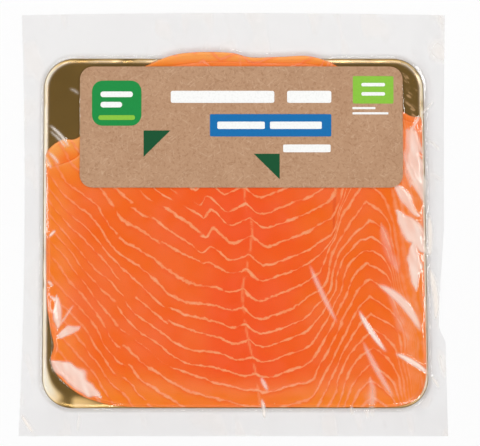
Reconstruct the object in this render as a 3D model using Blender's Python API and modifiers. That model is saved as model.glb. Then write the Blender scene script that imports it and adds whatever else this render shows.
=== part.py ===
"""A flat vacuum pack of sliced smoked salmon, lying on its back with the label up.

Two clear films are sealed to each other round a gold board that carries a low stack of
salmon slices, and a paper label lies across the front film.  The sealed pouch is one
solid out to its film: a thin margin, the rounded edge of the board, and the slices'
stepped and tapering stack.  The label is a sheet draped over it.

Metres, +Z up, +Y towards the label.  The origin is on the underside, in the middle of
the pouch's width and depth.
"""

import math

import bmesh
import bpy
import numpy as np

# Pouch: corners of the cut film, as half sizes, and how far each edge strays from straight.
POUCH_WIDTH = 0.200
POUCH_DEPTH = 0.197
POUCH_TOP_HALF_WIDTH = 0.0985
LEFT_EDGE_BOW = 0.0020
TOP_EDGE_BOW = 0.0011
RIGHT_EDGE_BOW = 0.0012
RIGHT_EDGE_DENT = 0.0030
RIGHT_DENT_SPAN = (-0.0560, -0.0470, 0.0050)
MARGIN_HEIGHT = 0.0004

# Board: a card with rounded corners whose rim the film has drawn up into a low lip.
BOARD_WIDTH = 0.1780
BOARD_DEPTH = 0.1625
BOARD_CENTRE = (0.0005, -0.0042)
BOARD_CORNER = 0.0140
BOARD_TOP = 0.0007
LIP_WIDTH = 0.0040
LIP_RISE = 0.0008

# Salmon: one outline, that of the lowest and largest slice, and the slices above it.
# Each point is a share of the board's half width and half depth, from its middle.
SLICE_OUTLINE = (
    (-0.975, 0.420), (-0.880, 0.475), (-0.760, 0.560), (-0.560, 0.820),
    (-0.400, 0.945), (-0.250, 1.010), (0.020, 1.015), (0.350, 0.990),
    (0.560, 0.930), (0.760, 0.760), (0.900, 0.655), (0.985, 0.610),
    (0.985, 0.150), (0.985, -0.400), (0.980, -0.840), (0.900, -0.960),
    (0.700, -0.985), (0.000, -0.985), (-0.600, -0.985), (-0.800, -0.950),
    (-0.900, -0.850), (-0.955, -0.680), (-0.978, -0.400), (-0.980, 0.100),
)
SLICE_INSETS = (0.0, 0.0014, 0.0030, 0.0048)
SLICE_THICKNESS = 0.00105
SLICE_TAPER = 0.0026
SLICE_EDGE_SHARE = 0.55
SLICE_THINNING = 0.0160
BOARD_INSET = 0.0010
SWELL_HEIGHT = 0.00025
SWELL_LENGTH = 0.0520

# Film: how it is drawn down over the contents, and more loosely under the label.
RASTER = 0.001
SUCTION = 500.0
SUCTION_UNDER_LABEL = 60.0
DRAPE_ROUNDS = 160

# Label: a paper sheet stuck across the upper half of the front film.
LABEL_WIDTH = 0.1500
LABEL_DEPTH = 0.0562
LABEL_CENTRE = (0.0037, 0.0453)
LABEL_CORNER = 0.0060
LABEL_GAP = 0.0003
LABEL_THICKNESS = 0.0002

# Meshing
POUCH_CELLS = 56
BOARD_LEVEL = 0.80
MARGIN_CROWDING = 1.6
EDGE_CROWDING = 0.80
LABEL_CELLS = (34, 14)
POINTS_PER_SPAN = 6

FILM_COLOUR = (0.84, 0.84, 0.85, 1.0)
KRAFT_COLOUR = (0.51, 0.32, 0.18, 1.0)


def clear_scene():
    """Remove every object that the startup scene holds."""
    for obj in list(bpy.data.objects):
        bpy.data.objects.remove(obj, do_unlink=True)


def make_material(name, colour, roughness):
    """A Principled material of one colour."""
    material = bpy.data.materials.new(name)
    material.use_nodes = True
    shader = material.node_tree.nodes["Principled BSDF"]
    shader.inputs["Base Color"].default_value = colour
    shader.inputs["Roughness"].default_value = roughness
    shader.inputs["Metallic"].default_value = 0.0
    return material


def smooth_step(low, high, value):
    """0 below low, 1 above high and an even S between them."""
    share = np.clip((value - low) / (high - low), 0.0, 1.0)
    return share * share * (3.0 - 2.0 * share)


def rounded_box_distance(x, y, centre, size, corner):
    """Signed distance to a rounded rectangle, negative inside."""
    across = np.abs(x - centre[0]) - (size[0] / 2 - corner)
    along = np.abs(y - centre[1]) - (size[1] / 2 - corner)
    outside = np.hypot(np.maximum(across, 0.0), np.maximum(along, 0.0))
    return outside + np.minimum(np.maximum(across, along), 0.0) - corner


def closed_curve(points):
    """A smooth closed line through the points, by Catmull-Rom spans."""
    points = np.asarray(points, float)
    spans = []
    steps = np.arange(POINTS_PER_SPAN)[:, None] / POINTS_PER_SPAN
    for i in range(len(points)):
        before, start, end, after = (points[(i + k) % len(points)] for k in (-1, 0, 1, 2))
        spans.append(
            0.5 * (
                2 * start
                + (end - before) * steps
                + (2 * before - 5 * start + 4 * end - after) * steps**2
                + (3 * start - before - 3 * end + after) * steps**3
            )
        )
    return np.concatenate(spans)


def outline_distance(x, y, line):
    """Signed distance to a closed line, negative inside."""
    nearest = np.full(x.shape, np.inf)
    inside = np.zeros(x.shape, bool)
    for (ax, ay), (bx, by) in zip(line, np.roll(line, -1, axis=0)):
        dx, dy = bx - ax, by - ay
        share = np.clip(((x - ax) * dx + (y - ay) * dy) / (dx * dx + dy * dy), 0.0, 1.0)
        nearest = np.minimum(nearest, np.hypot(x - ax - share * dx, y - ay - share * dy))
        if ay != by:
            crossing = ax + (y - ay) / (by - ay) * dx
            inside ^= ((ay > y) != (by > y)) & (x < crossing)
    return np.where(inside, -nearest, nearest)


def board_distance(x, y):
    """Signed distance to the board's edge, negative on the board."""
    return rounded_box_distance(x, y, BOARD_CENTRE, (BOARD_WIDTH, BOARD_DEPTH), BOARD_CORNER)


def salmon_thickness(x, y):
    """How thick the stack of slices is, each slice tapering at its own cut edge."""
    half = np.array((BOARD_WIDTH, BOARD_DEPTH)) / 2
    line = closed_curve(np.array(SLICE_OUTLINE) * half + BOARD_CENTRE)
    edge = outline_distance(x, y, line)
    rim = board_distance(x, y) + BOARD_INSET
    total = np.zeros(x.shape)
    for inset in SLICE_INSETS:
        distance = np.maximum(edge + inset, rim)
        thinning = smooth_step(0.0, SLICE_THINNING, -distance)
        thickness = SLICE_THICKNESS * (SLICE_EDGE_SHARE + (1 - SLICE_EDGE_SHARE) * thinning)
        total += thickness * smooth_step(0.0, SLICE_TAPER, -distance)
    wave = 2 * math.pi / SWELL_LENGTH
    swell = SWELL_HEIGHT * np.sin(wave * (x + 0.4 * y)) * np.cos(wave * (y - 0.3 * x))
    return total + swell * np.clip(total / SLICE_THICKNESS, 0.0, 1.0)


def contents_height(x, y):
    """Height of what the film lies on: the margin, the board and its lip, and the salmon."""
    edge = board_distance(x, y)
    lip = LIP_RISE * smooth_step(-LIP_WIDTH, 0.0, edge)
    board = np.where(edge < 0.0, BOARD_TOP + lip, MARGIN_HEIGHT)
    return np.maximum(board + salmon_thickness(x, y), MARGIN_HEIGHT)


def drape_film():
    """The front film's height on a raster, pulled down over the contents by the vacuum.

    Each round lowers the film a little from the mean of its neighbours, as suction does
    to a stretched sheet, and the contents hold it up.
    """
    across = np.arange(-POUCH_WIDTH / 2 - RASTER, POUCH_WIDTH / 2 + 2 * RASTER, RASTER)
    along = np.arange(-POUCH_DEPTH / 2 - RASTER, POUCH_DEPTH / 2 + 2 * RASTER, RASTER)
    x, y = np.meshgrid(across, along, indexing="ij")
    contents = contents_height(x, y)
    label = rounded_box_distance(x, y, LABEL_CENTRE, (LABEL_WIDTH, LABEL_DEPTH), LABEL_CORNER)
    under = smooth_step(0.002, -0.002, label)
    pull = (SUCTION + (SUCTION_UNDER_LABEL - SUCTION) * under) * RASTER**2 / 4
    film = np.full(x.shape, contents.max())
    for _ in range(DRAPE_ROUNDS):
        padded = np.pad(film, 1, mode="edge")
        mean = (padded[2:, 1:-1] + padded[:-2, 1:-1] + padded[1:-1, 2:] + padded[1:-1, :-2]) / 4
        film = np.maximum(contents, mean - pull)
    return across, along, film


def read_raster(raster, x, y):
    """The film's height at one place, read between the raster's points."""
    across, along, film = raster
    i = min(max((x - across[0]) / RASTER, 0.0), len(across) - 1.001)
    j = min(max((y - along[0]) / RASTER, 0.0), len(along) - 1.001)
    a, b = int(i), int(j)
    p, q = i - a, j - b
    near = film[a, b] * (1 - p) + film[a + 1, b] * p
    far = film[a, b + 1] * (1 - p) + film[a + 1, b + 1] * p
    return near * (1 - q) + far * q


def pouch_edge(u, v):
    """The point of the cut film's outline for a point of the square from -1 to 1."""
    x = u * (POUCH_WIDTH / 2 + (POUCH_TOP_HALF_WIDTH - POUCH_WIDTH / 2) * (v + 1) / 2)
    y = v * (POUCH_DEPTH / 2 - TOP_EDGE_BOW * max(v, 0.0) * u * u)
    bow = 1 - v * v
    if u < 0:
        x += LEFT_EDGE_BOW * bow * -u
    else:
        foot, deepest, top = RIGHT_DENT_SPAN
        dent = min(smooth_step(foot, deepest, y), 1 - smooth_step(deepest, top, y))
        x -= (RIGHT_EDGE_BOW * bow + RIGHT_EDGE_DENT * float(dent)) * u
    return x, y


def rounded_rectangle_point(u, v, size, corner):
    """The point of a rounded rectangle's outline for a point of the square's outline."""
    half_x, half_y = size[0] / 2, size[1] / 2
    on_side = abs(u) >= abs(v)
    lead, run = (u, v) if on_side else (v, u)
    reach, length = (half_x, half_y) if on_side else (half_y, half_x)
    straight = length - corner
    straight_share = straight / (straight + corner * math.pi / 4)
    if abs(run) <= straight_share:
        out, along = reach, abs(run) / straight_share * straight
    else:
        turn = (abs(run) - straight_share) / (1 - straight_share) * math.pi / 4
        out = reach - corner + corner * math.cos(turn)
        along = straight + corner * math.sin(turn)
    out, along = math.copysign(out, lead), math.copysign(along, run)
    return (out, along) if on_side else (along, out)


def pouch_place(u, v):
    """Where a point of the square from -1 to 1 lies on the pouch, seen from above.

    The square's rings become the board's rounded rings inside its edge, crowded towards
    the edge, and spread from there to the cut outline of the film.
    """
    level = max(abs(u), abs(v))
    if level < 1e-9:
        return BOARD_CENTRE
    side_u, side_v = u / level, v / level
    edge = rounded_rectangle_point(side_u, side_v, (BOARD_WIDTH, BOARD_DEPTH), BOARD_CORNER)
    if level <= BOARD_LEVEL:
        share = 1 - (1 - level / BOARD_LEVEL) ** (1 / EDGE_CROWDING)
        return tuple(BOARD_CENTRE[k] + edge[k] * share for k in (0, 1))
    share = ((level - BOARD_LEVEL) / (1 - BOARD_LEVEL)) ** MARGIN_CROWDING
    rim = pouch_edge(side_u, side_v)
    return tuple((BOARD_CENTRE[k] + edge[k]) * (1 - share) + rim[k] * share for k in (0, 1))


def grid_object(name, cells, material):
    """A flat grid over the square from -1 to 1, as a new object."""
    bpy.ops.mesh.primitive_grid_add(x_subdivisions=cells[0], y_subdivisions=cells[1], size=2)
    obj = bpy.context.object
    obj.name = name
    obj.data.name = name
    obj.data.materials.append(material)
    return obj


def close_down_to_floor(mesh):
    """Extrude the open edge of a height field down to z 0 and cap it underneath."""
    bm = bmesh.new()
    bm.from_mesh(mesh)
    rim = [edge for edge in bm.edges if edge.is_boundary]
    made = bmesh.ops.extrude_edge_only(bm, edges=rim)["geom"]
    for item in made:
        if isinstance(item, bmesh.types.BMVert):
            item.co.z = 0.0
    bmesh.ops.holes_fill(bm, edges=[edge for edge in bm.edges if edge.is_boundary])
    bmesh.ops.recalc_face_normals(bm, faces=bm.faces[:])
    bm.to_mesh(mesh)
    bm.free()


def build_pouch(raster, material):
    """The sealed pouch with all that it holds, as one solid out to its film."""
    pouch = grid_object("pouch", (POUCH_CELLS, POUCH_CELLS), material)
    for vertex in pouch.data.vertices:
        x, y = pouch_place(vertex.co.x, vertex.co.y)
        vertex.co = (x, y, read_raster(raster, x, y))
    close_down_to_floor(pouch.data)
    pouch.data.shade_smooth()
    pouch.data.set_sharp_from_angle(angle=math.radians(40))
    return pouch


def build_label(raster, material):
    """The paper label, a rounded sheet that follows the film under it."""
    label = grid_object("label", LABEL_CELLS, material)
    size = (LABEL_WIDTH, LABEL_DEPTH)
    for vertex in label.data.vertices:
        u, v = vertex.co.x, vertex.co.y
        level = max(abs(u), abs(v))
        x, y = LABEL_CENTRE
        if level > 1e-9:
            edge = rounded_rectangle_point(u / level, v / level, size, LABEL_CORNER)
            x, y = x + edge[0] * level, y + edge[1] * level
        vertex.co = (x, y, read_raster(raster, x, y) + LABEL_GAP)
    sheet = label.modifiers.new("Paper thickness", "SOLIDIFY")
    sheet.thickness = LABEL_THICKNESS
    sheet.offset = 1.0
    sheet.use_even_offset = False
    return label


def main():
    """Build the pouch and its label in a collection named for the pack."""
    clear_scene()
    raster = drape_film()
    film = make_material("clear film", FILM_COLOUR, 0.15)
    kraft = make_material("kraft paper", KRAFT_COLOUR, 0.85)
    parts = [build_pouch(raster, film), build_label(raster, kraft)]
    collection = bpy.data.collections.new("smoked salmon pack")
    bpy.context.scene.collection.children.link(collection)
    for part in parts:
        for owner in list(part.users_collection):
            owner.objects.unlink(part)
        collection.objects.link(part)


main()
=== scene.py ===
"""Looks of a flat vacuum pack of sliced smoked salmon with a paper label.

The sealed pouch of the frame is replaced by what it stands for: a gold board, a stack of
two groups of salmon slices and the clear films drawn down over them.  Fields that follow
the fish and the film are worked out in millimetres and meshes are made in metres.
"""

import logging
import math
from dataclasses import dataclass, field
from enum import Enum

import bpy
import numpy as np
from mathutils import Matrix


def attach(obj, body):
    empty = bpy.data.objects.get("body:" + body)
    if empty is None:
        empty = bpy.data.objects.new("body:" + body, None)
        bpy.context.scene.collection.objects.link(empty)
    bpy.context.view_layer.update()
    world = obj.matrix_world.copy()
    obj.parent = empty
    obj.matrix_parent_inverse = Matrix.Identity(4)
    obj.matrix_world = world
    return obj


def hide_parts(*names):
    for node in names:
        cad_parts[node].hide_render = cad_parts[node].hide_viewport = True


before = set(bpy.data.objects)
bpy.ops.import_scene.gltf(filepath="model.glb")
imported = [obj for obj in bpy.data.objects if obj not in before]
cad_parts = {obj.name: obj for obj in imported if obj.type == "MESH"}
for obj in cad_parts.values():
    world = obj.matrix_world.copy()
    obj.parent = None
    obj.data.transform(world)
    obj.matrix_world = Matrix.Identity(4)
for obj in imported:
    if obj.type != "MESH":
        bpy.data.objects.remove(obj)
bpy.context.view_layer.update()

LOG = logging.getLogger("salmon_pack")
MM = 0.001
BODY = "root"
SOFT_EDGE = 50.0
Point = tuple[float, float]
Span = tuple[float, float]
Knots = tuple[Point, ...]
Colour = tuple[float, float, float, float]
Socket = bpy.types.NodeSocket
Input = float | tuple | Socket


# --- Curves and fields -------------------------------------------------------------------


def ease(low: float, high: float, value: np.ndarray) -> np.ndarray:
    """An even S from 0 to 1.

    Args:
        low: Where the S starts from 0. It may be above high, for a falling S.
        high: Where the S reaches 1.
        value: The places to read it at.

    Returns:
        The S at each place.
    """
    share = np.clip((np.asarray(value, float) - low) / (high - low), 0.0, 1.0)
    return share * share * (3.0 - 2.0 * share)


def curve_through(knots: Knots, at: np.ndarray) -> np.ndarray:
    """A smooth line through knots, level beyond its ends.

    Args:
        knots: Pairs of place and value, with the places rising.
        at: The places to read the line at.

    Returns:
        The line's value at each place.
    """
    places, values = np.array(knots, float).T
    slopes = np.gradient(values, places)
    at = np.clip(at, places[0], places[-1])
    i = np.clip(np.searchsorted(places, at) - 1, 0, len(places) - 2)
    step = places[i + 1] - places[i]
    t = (at - places[i]) / step
    start = (1 + 2 * t) * (1 - t) ** 2 * values[i] + t * (1 - t) ** 2 * step * slopes[i]
    end = t * t * (3 - 2 * t) * values[i + 1] + t * t * (t - 1) * step * slopes[i + 1]
    return start + end


def closed_curve(points: Knots, per_span: int = 8) -> np.ndarray:
    """A smooth closed line through points, by Catmull-Rom spans.

    Args:
        points: The points that the line passes, in order.
        per_span: How many points each span gets.

    Returns:
        The line's points, one to a row.
    """
    given = np.asarray(points, float)
    steps = (np.arange(per_span) / per_span)[:, None]
    spans = []
    for i in range(len(given)):
        before, start, end, after = (given[(i + k) % len(given)] for k in (-1, 0, 1, 2))
        spans.append(
            0.5 * (
                2 * start
                + (end - before) * steps
                + (2 * before - 5 * start + 4 * end - after) * steps**2
                + (3 * start - before - 3 * end + after) * steps**3
            )
        )
    return np.concatenate(spans)


def rounded_rectangle(centre: Point, size: Point, corner: float, arc: int = 10) -> np.ndarray:
    """The outline of a rectangle with round corners.

    Args:
        centre: The rectangle's middle.
        size: Its width and depth.
        corner: The radius of its corners.
        arc: How many steps each corner's arc has.

    Returns:
        The outline's points, anticlockwise from the right side.
    """
    inner = np.array(size) / 2 - corner
    points = []
    for turn in range(4):
        way = np.array(((1, 1), (-1, 1), (-1, -1), (1, -1))[turn])
        for step in range(arc + 1):
            angle = (turn + step / arc) * math.pi / 2
            points.append(way * inner + corner * np.array((math.cos(angle), math.sin(angle))))
    return np.array(points) + centre


def distance_to_line(x: np.ndarray, y: np.ndarray, line: np.ndarray) -> tuple:
    """How far places are from an open line, and how far along it they are.

    Args:
        x: The places' x.
        y: The places' y.
        line: The line's points.

    Returns:
        The distances, and the shares of the line's length from 0 to 1.
    """
    nearest = np.full(x.shape, np.inf)
    along = np.zeros(x.shape)
    steps = len(line) - 1
    for i in range(steps):
        (ax, ay), (bx, by) = line[i], line[i + 1]
        dx, dy = bx - ax, by - ay
        share = np.clip(((x - ax) * dx + (y - ay) * dy) / (dx * dx + dy * dy), 0.0, 1.0)
        gap = np.hypot(x - ax - share * dx, y - ay - share * dy)
        along = np.where(gap < nearest, (i + share) / steps, along)
        nearest = np.minimum(nearest, gap)
    return nearest, along


def depth_inside(x: np.ndarray, y: np.ndarray, line: np.ndarray) -> np.ndarray:
    """How deep places lie inside a closed line, negative outside it.

    Args:
        x: The places' x.
        y: The places' y.
        line: The closed line's points, without the first repeated.

    Returns:
        The depth at each place.
    """
    ring = np.vstack((line, line[:1]))
    nearest, _ = distance_to_line(x, y, ring)
    inside = np.zeros(x.shape, bool)
    for (ax, ay), (bx, by) in zip(ring[:-1], ring[1:]):
        if ay != by:
            crossing = ax + (y - ay) / (by - ay) * (bx - ax)
            inside ^= ((ay > y) != (by > y)) & (x < crossing)
    return np.where(inside, nearest, -nearest)


def soft_noise(x: np.ndarray, y: np.ndarray, size: float, seed: int) -> np.ndarray:
    """Smooth noise from about -1 to 1.

    Args:
        x: The places' x.
        y: The places' y.
        size: The width of one lump, in the places' unit.
        seed: Which noise it is.

    Returns:
        The noise at each place.
    """
    table = np.random.default_rng(seed).uniform(-1.0, 1.0, (256, 256))
    px, py = x / size + 1000.0, y / size + 1000.0
    i, j = np.floor(px).astype(int), np.floor(py).astype(int)
    u, v = ease(0.0, 1.0, px - i), ease(0.0, 1.0, py - j)
    near = table[i % 256, j % 256] * (1 - u) + table[(i + 1) % 256, j % 256] * u
    far = table[i % 256, (j + 1) % 256] * (1 - u) + table[(i + 1) % 256, (j + 1) % 256] * u
    return near * (1 - v) + far * v


@dataclass
class Raster:
    """Values on an even raster over the whole pouch, in millimetres.

    Attributes:
        half: How far the raster reaches from the middle.
        pitch: The distance between its points.
        x: The points' x.
        y: The points' y.
    """

    half: float = 104.0
    pitch: float = 0.5
    x: np.ndarray = field(init=False)
    y: np.ndarray = field(init=False)

    def __post_init__(self) -> None:
        """Lay out the raster's points."""
        line = np.arange(-self.half, self.half + self.pitch, self.pitch)
        self.x, self.y = np.meshgrid(line, line, indexing="ij")

    def read(self, values: np.ndarray, x: np.ndarray, y: np.ndarray) -> np.ndarray:
        """Values between the raster's points.

        Args:
            values: One value for each point of the raster.
            x: The places' x.
            y: The places' y.

        Returns:
            The value at each place.
        """
        top = values.shape[0] - 1.001
        px = np.clip((x + self.half) / self.pitch, 0.0, top)
        py = np.clip((y + self.half) / self.pitch, 0.0, top)
        i, j = px.astype(int), py.astype(int)
        u, v = px - i, py - j
        near = values[i, j] * (1 - u) + values[i + 1, j] * u
        far = values[i, j + 1] * (1 - u) + values[i + 1, j + 1] * u
        return near * (1 - v) + far * v


def blurred(values: np.ndarray, rounds: int) -> np.ndarray:
    """A raster's values, each averaged with its neighbours a number of times.

    Args:
        values: The values on the raster.
        rounds: How many times they are averaged.

    Returns:
        The blurred values.
    """
    for _ in range(rounds):
        wide = np.pad(values, 1, mode="edge")
        values = (wide[2:, 1:-1] + wide[:-2, 1:-1] + wide[1:-1, 2:] + wide[1:-1, :-2]) / 4
    return values


# --- Meshes ------------------------------------------------------------------------------


def square_grid(cells: int) -> tuple[np.ndarray, np.ndarray]:
    """A square grid from -1 to 1.

    Args:
        cells: How many cells it has each way.

    Returns:
        Its points, and its faces as rows of four indices, facing up.
    """
    line = np.linspace(-1.0, 1.0, cells + 1)
    v, u = np.meshgrid(line, line, indexing="ij")
    index = np.arange((cells + 1) ** 2).reshape(cells + 1, cells + 1)
    quads = np.stack((index[:-1, :-1], index[:-1, 1:], index[1:, 1:], index[1:, :-1]), axis=-1)
    return np.stack((u.ravel(), v.ravel()), axis=-1), quads.reshape(-1, 4)


def rim_of_grid(cells: int) -> np.ndarray:
    """The indices of a square grid's outer points, anticlockwise from above."""
    index = np.arange((cells + 1) ** 2).reshape(cells + 1, cells + 1)
    return np.concatenate((index[0, :-1], index[:-1, -1], index[-1, :0:-1], index[:0:-1, 0]))


def spread_over(square: np.ndarray, outline: np.ndarray, crowding: float = 1.0) -> np.ndarray:
    """Moves a square's points into an outline that its middle can see all of.

    Args:
        square: Points of the square from -1 to 1.
        outline: The outline's points.
        crowding: Over 1, the points lie closer together towards the outline.

    Returns:
        The places in the outline.
    """
    centre, half = outline.mean(axis=0), np.ptp(outline, axis=0) / 2
    level = np.abs(square).max(axis=1)
    way = square * half
    angle = np.arctan2(way[:, 1], way[:, 0])
    steps = np.linspace(0.0, 1.0, 60, endpoint=False)[None, :, None]
    ahead = np.roll(outline, -1, axis=0)
    own = (outline[:, None] * (1 - steps) + ahead[:, None] * steps).reshape(-1, 2) - centre
    reach = np.interp(
        angle, np.arctan2(own[:, 1], own[:, 0]), np.hypot(own[:, 0], own[:, 1]), period=2 * math.pi
    )
    share = 1.0 - (1.0 - level) ** crowding
    toward = np.stack((np.cos(angle), np.sin(angle)), axis=-1)
    return centre + toward * (reach * share)[:, None]


def mesh_object(
    name: str, points: np.ndarray, faces: list, crease: float = 180.0
) -> bpy.types.Object:
    """A new object from points in millimetres.

    Args:
        name: The object's name.
        points: The points, one to a row.
        faces: The faces, each a sequence of indices.
        crease: The angle in degrees over which an edge stays sharp.

    Returns:
        The object, linked to the scene and shaded smooth.
    """
    mesh = bpy.data.meshes.new(name)
    mesh.from_pydata((np.asarray(points) * MM).tolist(), [], [list(map(int, f)) for f in faces])
    mesh.update()
    mesh.shade_smooth()
    if crease < 180.0:
        mesh.set_sharp_from_angle(angle=math.radians(crease))
    made = bpy.data.objects.new(name, mesh)
    bpy.context.scene.collection.objects.link(made)
    return made


def add_values(piece: bpy.types.Object, name: str, values: np.ndarray) -> None:
    """Stores one number for each point of a piece, for its material to read.

    Args:
        piece: The piece.
        name: The values' name.
        values: One value for each point.
    """
    store = piece.data.attributes.new(name, "FLOAT", "POINT")
    filled = np.zeros(len(piece.data.vertices), np.float32)
    filled[: len(values)] = values
    store.data.foreach_set("value", filled)


def solid_slab(
    name: str, cells: int, places: np.ndarray, top: np.ndarray, bottom: np.ndarray
) -> bpy.types.Object:
    """A closed slab with a grid on top and the same grid underneath.

    Args:
        name: The object's name.
        cells: How many cells the grid has each way.
        places: The grid's places from above.
        top: The upper height at each place.
        bottom: The lower height at each place.

    Returns:
        The slab.
    """
    _, quads = square_grid(cells)
    count = len(places)
    rim = rim_of_grid(cells)
    after = np.roll(rim, -1)
    sides = np.stack((rim, rim + count, after + count, after), axis=-1)
    faces = np.concatenate((quads, quads[:, ::-1] + count, sides))
    upper = np.column_stack((places, top))
    lower = np.column_stack((places, bottom))
    return mesh_object(name, np.vstack((upper, lower)), faces, crease=SOFT_EDGE)


def solid_mound(
    name: str, cells: int, places: np.ndarray, top: np.ndarray, floor: float
) -> bpy.types.Object:
    """A closed mound with a grid on top and one flat face underneath.

    Args:
        name: The object's name.
        cells: How many cells the grid has each way.
        places: The grid's places from above.
        top: The upper height at each place.
        floor: The height of the flat face.

    Returns:
        The mound.
    """
    _, quads = square_grid(cells)
    count = len(places)
    rim = rim_of_grid(cells)
    foot = np.arange(len(rim)) + count
    sides = np.stack((rim, foot, np.roll(foot, -1), np.roll(rim, -1)), axis=-1)
    base = np.column_stack((places[rim], np.full(len(rim), floor)))
    points = np.vstack((np.column_stack((places, top)), base))
    faces = [*quads, *sides, foot[::-1]]
    return mesh_object(name, points, faces, crease=SOFT_EDGE)


# --- Materials ---------------------------------------------------------------------------


def linear(red: int, green: int, blue: int) -> Colour:
    """A screen colour as light.

    Args:
        red: The red part, from 0 to 255.
        green: The green part.
        blue: The blue part.

    Returns:
        The colour's red, green and blue from 0 to 1, and 1 for its alpha.
    """
    parts = []
    for part in (red, green, blue):
        share = part / 255
        parts.append(share / 12.92 if share <= 0.04045 else ((share + 0.055) / 1.055) ** 2.4)
    return (*parts, 1.0)


class Shading:
    """A material's nodes, built one call at a time."""

    def __init__(self, name: str) -> None:
        """Makes a material with an output and nothing else.

        Args:
            name: The material's name.
        """
        self.material = bpy.data.materials.new(name)
        self.material.use_nodes = True
        self.tree = self.material.node_tree
        self.tree.nodes.clear()
        self.output = self.tree.nodes.new("ShaderNodeOutputMaterial")

    def node(
        self, kind: str, inputs: dict | None = None, **settings: object
    ) -> bpy.types.ShaderNode:
        """Adds a node.

        Args:
            kind: The node's type, without its usual prefix.
            inputs: Values or sockets for its inputs, by name or place.
            **settings: The node's own settings.

        Returns:
            The node.
        """
        made = self.tree.nodes.new("ShaderNode" + kind)
        for key, value in settings.items():
            setattr(made, key, value)
        for key, value in (inputs or {}).items():
            self.feed(made.inputs[key], value)
        return made

    def feed(self, socket: Socket, value: Input) -> None:
        """Links a socket to an input, or sets the input's value."""
        if isinstance(value, bpy.types.NodeSocket):
            self.tree.links.new(value, socket)
        else:
            socket.default_value = value

    def math(self, operation: str, *values: Input, clamp: bool = False) -> Socket:
        """A sum of up to three numbers or sockets, such as ADD or MULTIPLY."""
        inputs = dict(enumerate(values))
        return self.node("Math", inputs, operation=operation, use_clamp=clamp).outputs[0]

    def between(
        self, value: Input, low: Input, high: Input, start: float = 0.0, end: float = 1.0
    ) -> Socket:
        """A smooth change from one number to another as a value goes from low to high.

        Args:
            value: The value.
            low: Where the change starts. It may be above high.
            high: Where the change ends.
            start: The number up to low.
            end: The number from high on.

        Returns:
            The number's socket.
        """
        inputs = {"Value": value, "From Min": low, "From Max": high, "To Min": start, "To Max": end}
        made = self.node("MapRange", inputs, interpolation_type="SMOOTHSTEP")
        return made.outputs["Result"]

    def blend(self, share: Input, first: Input, second: Input) -> Socket:
        """A colour between two.

        Args:
            share: The second colour's share.
            first: The colour at 0.
            second: The colour at 1.

        Returns:
            The colour's socket.
        """
        made = self.node("Mix", data_type="RGBA")
        self.feed(made.inputs[0], share)
        self.feed(made.inputs[6], first)
        self.feed(made.inputs[7], second)
        return made.outputs[2]

    def place(self) -> Socket:
        """The place on the object, in metres."""
        return self.node("TexCoord").outputs["Object"]

    def noise(
        self,
        size: float,
        detail: float = 2.0,
        stretch: tuple | None = None,
        offset: float = 0.0,
        turn: float = 0.0,
    ) -> Socket:
        """Noise from 0 to 1 whose lumps are about a size, in millimetres.

        Args:
            size: The lumps' size.
            detail: How many finer layers lie on them.
            stretch: A scale for each axis, for lumps that are longer one way.
            offset: Shifts the noise, so that two of one size differ.
            turn: Turns it about +Z, in degrees.

        Returns:
            The noise's socket.
        """
        place = self.place()
        if turn:
            turned = {"Vector": place, "Rotation": (0.0, 0.0, math.radians(turn))}
            place = self.node("Mapping", turned).outputs[0]
        stretched = {
            "Vector": place,
            "Scale": stretch or (1.0, 1.0, 1.0),
            "Location": (offset,) * 3,
        }
        mapping = self.node("Mapping", stretched)
        made = self.node(
            "TexNoise",
            {"Vector": mapping.outputs[0], "Scale": 1.0 / (size * MM), "Detail": detail},
        )
        return made.outputs["Fac"]

    def stored(self, name: str) -> Socket:
        """The value that a piece stores for each of its points."""
        return self.node("Attribute", attribute_name=name).outputs["Fac"]

    def bump(self, height: Socket, depth: float, strength: float = 1.0) -> Socket:
        """A bump of a depth in millimetres."""
        inputs = {"Height": height, "Distance": depth * MM, "Strength": strength}
        return self.node("Bump", inputs).outputs["Normal"]

    def finish(self, shader: bpy.types.ShaderNode) -> bpy.types.Material:
        """Links a shader node to the output and gives the material."""
        self.tree.links.new(shader.outputs[0], self.output.inputs["Surface"])
        return self.material


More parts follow.
